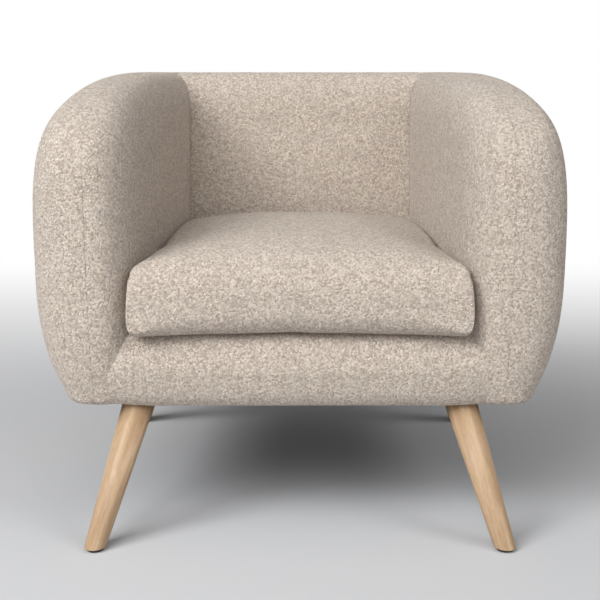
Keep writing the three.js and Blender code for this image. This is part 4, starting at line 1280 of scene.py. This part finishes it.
# %% The slider and its pull
slider_low, slider_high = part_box("zip_slider")
slider_middle = (slider_low + slider_high) / 2
slider_size = slider_high - slider_low
body_share = Vector((1, 0.55, 0.9))
narrow_share, body_drop_share, bridge_lift_share = 0.68, 0.2, 0.06
bridge_radius_share, bridge_depth_share, bridge_stretch = 0.42, 0.26, 1.7
slider_ease, slider_sides, slider_edge_angle = 0.0004, 24, 0.5
tab_width, tab_length, tab_thickness, tab_hole = 0.0042, 0.015, 0.0009, 0.0012
tab_sides, tab_ease, tab_edge_angle, tab_drop = 32, 0.00022, 0.8, 0.0002
smooth_angle = math.radians(35)


def slider_body():
    """A flat body that is narrower where the coil closes, with eased edges and a bridge on top."""
    body = bmesh.new()
    base = bmesh.ops.create_cube(body, size=1)["verts"]
    bmesh.ops.scale(body, vec=slider_size * body_share, verts=base)
    narrow_end = [v for v in base if v.co.x > 0]
    bmesh.ops.scale(body, vec=(1, 1, narrow_share), verts=narrow_end)
    bmesh.ops.translate(body, vec=(0, -slider_size.y * body_drop_share, 0), verts=base)
    radius = slider_size.y * bridge_radius_share
    bridge = bmesh.ops.create_cone(
        body, cap_ends=True, segments=slider_sides, radius1=radius, radius2=radius,
        depth=slider_size.z * bridge_depth_share,
    )["verts"]
    bmesh.ops.scale(body, vec=(bridge_stretch, 1, 1), verts=bridge)
    bmesh.ops.translate(body, vec=(0, slider_size.y * bridge_lift_share, 0), verts=bridge)
    sharp = [e for e in body.edges if e.calc_face_angle(0) > slider_edge_angle]
    ease_edges(body, sharp, slider_ease, 3)
    bmesh.ops.translate(body, vec=slider_middle, verts=body.verts[:])
    return body


def pull_tab():
    """A long rounded tab with a hole at its upper end, hanging from the bridge."""
    tab = bmesh.new()
    outer = bmesh.ops.create_circle(tab, segments=tab_sides, radius=tab_width / 2)["verts"]
    bmesh.ops.create_circle(tab, segments=tab_sides, radius=tab_hole / 2)
    low_half = [v for v in outer if v.co.y < -hair / 10]
    bmesh.ops.translate(tab, vec=(0, -tab_length + tab_width, 0), verts=low_half)
    bmesh.ops.bridge_loops(tab, edges=tab.edges[:])
    bmesh.ops.recalc_face_normals(tab, faces=tab.faces[:])
    bmesh.ops.solidify(tab, geom=tab.faces[:], thickness=tab_thickness)
    rims = [e for e in tab.edges if e.calc_face_angle(0) > tab_edge_angle]
    ease_edges(tab, rims, tab_ease, 2)
    bmesh.ops.recalc_face_normals(tab, faces=tab.faces[:])
    bmesh.ops.rotate(tab, cent=(0, 0, 0), matrix=Matrix.Rotation(quarter, 3, "X"), verts=tab.verts[:])
    place = (slider_middle.x, slider_high.y - tab_thickness / 2, slider_middle.z - tab_drop)
    bmesh.ops.translate(tab, vec=place, verts=tab.verts[:])
    return tab


slider = finish_object("zip_slider_body", slider_body(), zip_metal, "zip_pull", smooth=False)
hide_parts("zip_slider")
tab = finish_object("zip_slider_tab", pull_tab(), zip_metal, "zip_pull", smooth=False)
for piece in (slider, tab):
    piece.data.shade_smooth()
    piece.data.set_sharp_from_angle(angle=smooth_angle)
print("the slider is", [round(v * 1000, 1) for v in slider_size], "mm")

# %% [markdown]
# ## Deck and felt
# Under the cushion a black lining cloth is stretched over a felt pad on the springs. Both are flat, so a
# grid with a hem and a slab with eased edges are enough, and noise gives each a slightly uneven face.

# %% The deck cloth and the felt under it
felt = make_plain(
    "grey felt", linear(150, 148, 144), linear(104, 102, 100), scale=700.0, roughness=0.95, height=0.001,
)
lining = make_plain(
    "black lining", linear(60, 60, 64), linear(34, 34, 38), scale=900.0, roughness=0.9, height=0.0004,
)
deck_low, deck_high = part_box("deck_cloth")
deck_columns, deck_rows = 96, 90
deck_wave, deck_wave_size, deck_wave_fade, deck_seed = 0.0003, 0.05, 0.03, 4.0
deck_sink, deck_thickness = 0.0003, 0.0008
hem_width, hem_height = 0.012, 0.0003


def deck_sheet():
    """A cloth with a hem round it, lying in very slight waves on the felt."""
    sheet, column_layer, row_layer = grid_mesh(deck_columns, deck_rows)
    for vertex in sheet.verts:
        x = mixed(deck_low.x, deck_high.x, vertex[column_layer] / deck_columns)
        y = mixed(deck_low.y, deck_high.y, vertex[row_layer] / deck_rows)
        rim = min(x - deck_low.x, deck_high.x - x, y - deck_low.y, deck_high.y - y)
        wave = deck_wave * noise_at(Vector((x, y, 0)), deck_wave_size, deck_seed)
        hem = hem_height if rim < hem_width else 0
        level = deck_high.z - deck_sink - hem_height
        vertex.co = (x, y, level + wave * min(rim / deck_wave_fade, 1) + hem)
    return sheet


deck = finish_object("deck_cloth_sheet", deck_sheet(), lining)
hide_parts("deck_cloth")
thicken(deck, deck_thickness)

felt_low, felt_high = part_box("insulator_pad")
felt_ease, felt_cuts = 0.003, 24
felt_dent, felt_dent_size, felt_seed = 0.0004, 0.03, 6.0


def felt_block():
    """A slab with eased edges and a slightly uneven face, as needled felt has."""
    slab = bmesh.new()
    bmesh.ops.create_cube(slab, size=1)
    bmesh.ops.scale(slab, vec=felt_high - felt_low, verts=slab.verts[:])
    ease_edges(slab, slab.edges[:], felt_ease, 3)
    bmesh.ops.translate(slab, vec=(felt_low + felt_high) / 2, verts=slab.verts[:])
    for axis in (0, 1):
        for i in range(1, felt_cuts):
            place, facing = Vector((0, 0, 0)), Vector((0, 0, 0))
            place[axis] = mixed(felt_low[axis], felt_high[axis], i / felt_cuts)
            facing[axis] = 1
            whole = slab.verts[:] + slab.edges[:] + slab.faces[:]
            bmesh.ops.bisect_plane(slab, geom=whole, plane_co=place, plane_no=facing)
    slab.normal_update()
    moves = []
    for vertex in slab.verts:
        dent = felt_dent * abs(noise_at(vertex.co, felt_dent_size, felt_seed))
        moves.append((vertex, vertex.normal * -dent))
    for vertex, move in moves:
        vertex.co += move
    return slab


felt_pad = finish_object("insulator_felt", felt_block(), felt)
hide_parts("insulator_pad")

# %% [markdown]
# ## Dust cover
# Below the seat a thin black cloth keeps the dust out. It is cut round the legs, turned in along its edge
# and stapled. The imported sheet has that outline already, so its upper face is copied and cut into squares
# that can sag and pucker. Its front and side edges are drawn inwards, so that no black hem shows below
# the covers.

# %% The dust cover
dust_low, dust_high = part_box("dust_cover")
cut_spacing, merge_gap, flat_angle = 0.012, 0.000001, 0.02
rim_draw, rim_reach = 0.012, 0.04
dust_pucker, dust_pucker_size, dust_seed = 0.0009, 0.02, 9.0
pucker_from_rim, pucker_over = 0.02, 0.014
dust_sag, dust_sag_over, dust_thickness = 0.0016, 0.12, 0.0006


def node_copy(name):
    """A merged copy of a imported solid's mesh."""
    shape = bmesh.new()
    shape.from_mesh(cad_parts[name].data)
    bmesh.ops.remove_doubles(shape, verts=shape.verts[:], dist=merge_gap)
    shape.normal_update()
    return shape


def dust_sheet():
    """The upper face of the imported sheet, cut into squares, so that it can sag and pucker."""
    sheet = node_copy("dust_cover")
    bmesh.ops.delete(sheet, geom=[f for f in sheet.faces if f.normal.z < 0.5], context="FACES")
    bmesh.ops.dissolve_limit(
        sheet, angle_limit=flat_angle, verts=sheet.verts[:], edges=sheet.edges[:],
    )
    for axis in (0, 1):
        facing = Vector((0, 0, 0))
        facing[axis] = 1
        for place in np.arange(dust_low[axis] + cut_spacing, dust_high[axis], cut_spacing):
            whole = sheet.verts[:] + sheet.edges[:] + sheet.faces[:]
            bmesh.ops.bisect_plane(sheet, geom=whole, plane_co=facing * float(place), plane_no=facing)
    return sheet


def drawn_in(place):
    """A place on the sheet, moved inwards near the front and the sides, so that the hem stays hidden."""
    from_side = dust_high.x - abs(place.x)
    from_front = place.y - dust_low.y
    place.x -= math.copysign(rim_draw * max(1 - from_side / rim_reach, 0), place.x)
    place.y += rim_draw * max(1 - from_front / rim_reach, 0)
    return place


def rim_tree(sheet):
    """The points on the sheet's rim, ready to be asked for the nearest one."""
    rim = [v for v in sheet.verts if v.is_boundary]
    tree = KDTree(len(rim))
    for i, vertex in enumerate(rim):
        tree.insert(vertex.co, i)
    tree.balance()
    return tree


def sag(sheet):
    """Lets the sheet sag between its edges, pucker beside them and carry its turned hem."""
    tree = rim_tree(sheet)
    for vertex in sheet.verts:
        gap = tree.find(vertex.co)[2]
        fade = math.exp(-((gap - pucker_from_rim) / pucker_over) ** 2)
        pucker = dust_pucker * noise_at(vertex.co, dust_pucker_size, dust_seed) * fade
        hem = hem_height if gap < hem_width else 0
        vertex.co.z -= dust_sag * min(gap / dust_sag_over, 1) ** 2 + hem - pucker
    for vertex in sheet.verts:
        vertex.co = drawn_in(vertex.co)
    bmesh.ops.reverse_faces(sheet, faces=sheet.faces[:])


dust = dust_sheet()
sag(dust)
dust_cover = finish_object("dust_cover_sheet", dust, lining)
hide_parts("dust_cover")
thicken(dust_cover, dust_thickness)
print("the dust cover has", len(dust_cover.data.polygons), "faces")

# %% [markdown]
# Only the crown of a staple shows, a short bright wire along the turned edge. The edges of the packed
# sheet give the places, a little inwards and evenly apart, and the legs are kept clear.

# %% Staples round the dust cover
steel = make_plain(
    "bright wire", linear(172, 174, 178), linear(128, 131, 136), scale=300.0, roughness=0.35, height=0.0002,
    Metallic=1.0,
)
staple_length, staple_wire, staple_sides, staple_drop = 0.011, 0.0011, 8, 0.0004
staple_inset, staple_spacing, apart_share, leg_clearance = 0.008, 0.034, 0.8, 0.075
leg_names = [f"{end}_{side}_leg" for end in ("front", "rear") for side in ("left", "right")]


def staple_places():
    """Places along the sheet's outer rim, away from the legs, each with the direction of the rim."""
    legs = [sum(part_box(name), Vector()) / 2 for name in leg_names]
    shape = node_copy("dust_cover")
    bmesh.ops.delete(shape, geom=[f for f in shape.faces if f.normal.z > -0.5], context="FACES")
    chosen = []
    for edge in [e for e in shape.edges if e.is_boundary]:
        start, end = (v.co for v in edge.verts)
        along = (end - start).normalized()
        inward = Vector((-along.y, along.x, 0))
        inward *= 1 if inward.dot(-start) > 0 else -1
        for step in range(int(edge.calc_length() / staple_spacing) + 1):
            place = start + along * (step + 0.5) * staple_spacing
            if (place - start).length > edge.calc_length():
                place = (start + end) / 2
            place = place + inward * staple_inset
            clear = all((place.xy - leg.xy).length > leg_clearance for leg in legs)
            apart = all((place - other).length > staple_spacing * apart_share for other, _ in chosen)
            if clear and apart:
                chosen.append((place, along))
    shape.free()
    return chosen


def lay_staples():
    """The crown of each staple, a short wire that lies flat on the sheet along its rim."""
    wires = bmesh.new()
    for place, along in staple_places():
        wire = bmesh.ops.create_cone(
            wires, cap_ends=True, segments=staple_sides, radius1=staple_wire / 2,
            radius2=staple_wire / 2, depth=staple_length,
        )["verts"]
        turn = Vector((0, 0, 1)).rotation_difference(along).to_matrix()
        bmesh.ops.rotate(wires, cent=(0, 0, 0), matrix=turn, verts=wire)
        place = drawn_in(place)
        bmesh.ops.translate(wires, vec=(place.x, place.y, dust_low.z - staple_drop), verts=wire)
    return wires


staples = finish_object("dust_cover_staples", lay_staples(), steel, smooth=False)
print("the dust cover is held by", len(staples.data.polygons) // (staple_sides + 2), "staples")

# %% [markdown]
# ## The legs
# Each leg is turned oak, thicker where it meets the frame, and leans outwards. A cone along the leaning
# axis is cut level at the floor end and at the top with two planes, and its foot is eased with a small
# bevel. The grain runs along the axis of each leg, so each has its own turned copy of the oak.

# %% Four oak legs
foot_radius, head_radius = 0.0155, 0.024
outward_slope, endward_slope = 0.302, 0.385
leg_sides, spare_share, foot_ease, level_gap = 72, 0.12, 0.0012, 1e-5


def leg_axis(end, side):
    """The middle of a leg's foot and of its head."""
    low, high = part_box(f"{end}_{side}_leg")
    sign = 1 if side == "right" else -1
    glide_low, glide_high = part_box(f"{end}_{side}_glide")
    middle = (glide_low + glide_high) / 2
    foot = Vector((middle.x, middle.y, low.z))
    rise = high.z - low.z
    reach = outward_slope * rise
    lean = endward_slope * rise * (1 if end == "front" else -1)
    return foot, Vector((foot.x - sign * reach, foot.y + lean, high.z))


def turned_leg(foot, head):
    """A cone along the leg's axis, a little too long, cut level at both ends and eased at the foot."""
    leg = bmesh.new()
    axis = head - foot
    swell = (head_radius - foot_radius) * spare_share
    bmesh.ops.create_cone(
        leg, cap_ends=True, segments=leg_sides, radius1=foot_radius - swell,
        radius2=head_radius + swell, depth=axis.length * (1 + 2 * spare_share),
    )
    turn = Vector((0, 0, 1)).rotation_difference(axis).to_matrix()
    bmesh.ops.rotate(leg, cent=(0, 0, 0), matrix=turn, verts=leg.verts[:])
    bmesh.ops.translate(leg, vec=(foot + head) / 2, verts=leg.verts[:])
    for height, facing in ((foot.z, -1), (head.z, 1)):
        cut = bmesh.ops.bisect_plane(
            leg, geom=leg.verts[:] + leg.edges[:] + leg.faces[:], plane_co=(0, 0, height),
            plane_no=(0, 0, facing), clear_outer=True,
        )
        rim = [part for part in cut["geom_cut"] if isinstance(part, bmesh.types.BMEdge)]
        bmesh.ops.contextual_create(leg, geom=rim)
    rim = [e for e in leg.edges if all(abs(v.co.z - foot.z) < level_gap for v in e.verts)]
    ease_edges(leg, rim, foot_ease, 4)
    bmesh.ops.recalc_face_normals(leg, faces=leg.faces[:])
    return leg


for name in leg_names:
    end, side, _ = name.split("_")
    foot, head = leg_axis(end, side)
    turn = (head - foot).rotation_difference(Vector((0, 0, 1))).to_euler("XYZ")
    oak = make_wood(
        f"oak {end} {side}", linear(206, 180, 150), linear(160, 130, 98), bands=110.0,
        roughness=0.45, turn=turn,
    )
    leg = finish_object(f"{name}_oak", turned_leg(foot, head), oak, smooth=False)
    for face in leg.data.polygons:
        face.use_smooth = len(face.vertices) == 4
    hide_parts(name)
print("the legs lean", round(math.degrees(math.atan(outward_slope)), 1), "degrees out")

# %% [markdown]
# ## The frame inside
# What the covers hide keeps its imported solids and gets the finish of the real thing: pale beech for the
# rails, ribs and blocks, blued steel for the springs, clips and bolts, and dark nylon for the glides.

# %% Finishes for the hidden frame
beech = make_wood(
    "beech rail", linear(214, 186, 150), linear(184, 150, 112), bands=70.0, roughness=0.6,
)
spring_wire = make_plain(
    "blued wire", linear(96, 100, 108), linear(58, 60, 66), scale=300.0, roughness=0.35, height=0.0002,
    Metallic=1.0,
)
nylon = make_plain(
    "dark nylon", linear(44, 40, 37), linear(30, 27, 25), scale=400.0, roughness=0.5, height=0.0002,
)
finishes = {
    "frame_timber": beech, "spring_steel": spring_wire, "glide_nylon": nylon, "felt": felt,
    "deck_cloth": lining, "dust_cloth": lining, "foam": foam, "zip_tape": zip_tape,
    "zip_metal": zip_metal, "upholstery_fabric": cloth, "leg_oak": beech,
}
for name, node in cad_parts.items():
    slot_name = node.data.materials[0].name.split(".")[0]
    node.data.materials.clear()
    node.data.materials.append(finishes[slot_name])
print(len(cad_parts), "packed nodes have their finish")

# %% [markdown]
# ## The studio
# The photograph was taken in a plain white studio, where floor and wall run into each other. The floor
# keeps the chair's shadow and fades to white behind the chair and far from it. A Light Path node keeps
# the fade to the camera alone, so that the white throws no light on the chair.

# %% The floor
floor_half, floor_color = 14, linear(199, 200, 202)
fade_behind, fade_away = (0.1, 2.2), (1.7, 4.5)


def make_floor():
    material, tree, shader = new_material(
        "studio floor", 0.9, Specular_IOR_Level=0.1, Base_Color=floor_color,
    )
    white = add_node(tree, "ShaderNodeEmission", Color=(1, 1, 1, 1), Strength=1.0)
    place = object_position(tree)
    parts = add_node(tree, "ShaderNodeSeparateXYZ", Vector=place)
    reach = add_node(tree, "ShaderNodeVectorMath", operation="LENGTH", Vector=place)
    fades = []
    for value, (start, end) in ((parts.outputs["Y"], fade_behind), (reach.outputs["Value"], fade_away)):
        fade = add_node(
            tree, "ShaderNodeMapRange", interpolation_type="SMOOTHSTEP", Value=value, From_Min=start,
            From_Max=end,
        )
        fades.append(fade.outputs[0])
    rays = tree.nodes.new("ShaderNodeLightPath")
    share = math_node(tree, "MAXIMUM", *fades)
    share = math_node(tree, "MULTIPLY", share, rays.outputs["Is Camera Ray"])
    mix = tree.nodes.new("ShaderNodeMixShader")
    feed(tree, mix.inputs, (share, shader.outputs[0], white.outputs[0]))
    fill(tree, tree.nodes["Material Output"], Surface=mix.outputs[0])
    return material


ground = bmesh.new()
bmesh.ops.create_grid(ground, x_segments=2, y_segments=2, size=floor_half)
floor_mesh = bpy.data.meshes.new("floor")
ground.to_mesh(floor_mesh)
ground.free()
floor = bpy.data.objects.new("floor", floor_mesh)
floor_mesh.materials.append(make_floor())
collection.objects.link(floor)
print("the floor is laid")

# %% [markdown]
# The main light stands high to the left of the chair and is fairly small, so the legs throw soft streaks
# to the right. A broad light beside the camera fills the front. Weak ones from above and from the right
# soften what is left.

# %% The lights
lamp_aim = Vector((0, 0, 0.4))


def add_lamp(name, place, size, power):
    data = bpy.data.lights.new(name, "AREA")
    data.shape = "DISK"
    data.size = size
    data.energy = power
    lamp = bpy.data.objects.new(name, data)
    lamp.location = place
    lamp.rotation_euler = (Vector(place) - lamp_aim).to_track_quat("Z", "Y").to_euler()
    collection.objects.link(lamp)


add_lamp("key", (-3.1, -2.4, 3.2), size=1.9, power=122)
add_lamp("front", (-1.9, -3.6, 3.5), size=2.6, power=112)
add_lamp("overhead", (0.2, -0.8, 3.6), size=2.4, power=12)
add_lamp("right fill", (2.6, -1.6, 3.2), size=1.8, power=32)

# %% [markdown]
# The room is white to the camera and in reflections. As a light it is weak, and palest behind the camera,
# so that the front of the chair stays brighter than its sides and back.

# %% The room
room_light, front_light, rear_light = 0.02, 1.0, 0.12
world = bpy.data.worlds.new("studio")
bpy.context.scene.world = world
world.use_nodes = True
room = world.node_tree
background = room.nodes["Background"]
rays = room.nodes.new("ShaderNodeLightPath")
seen = math_node(room, "MAXIMUM", rays.outputs["Is Camera Ray"], rays.outputs["Is Glossy Ray"])
seen = math_node(room, "MAXIMUM", seen, rays.outputs["Is Transmission Ray"])
generated = room.nodes.new("ShaderNodeTexCoord").outputs["Generated"]
direction = add_node(room, "ShaderNodeSeparateXYZ", Vector=generated)
towards_front = math_node(room, "MULTIPLY", direction.outputs["Y"], -1.0)
towards_front = math_node(room, "MAXIMUM", towards_front, 0.0)
towards_rear = math_node(room, "MAXIMUM", direction.outputs["Y"], 0.0)
lit = math_node(room, "ADD", math_node(room, "MULTIPLY", towards_front, front_light), room_light)
lit = math_node(room, "ADD", math_node(room, "MULTIPLY", towards_rear, rear_light), lit)
strength = add_node(room, "ShaderNodeMapRange", Value=seen, To_Min=lit, To_Max=1.0)
fill(room, background, Color=(1, 1, 1, 1), Strength=strength.outputs[0])
print("the room gives", front_light, "from the front and", rear_light, "from the rear")
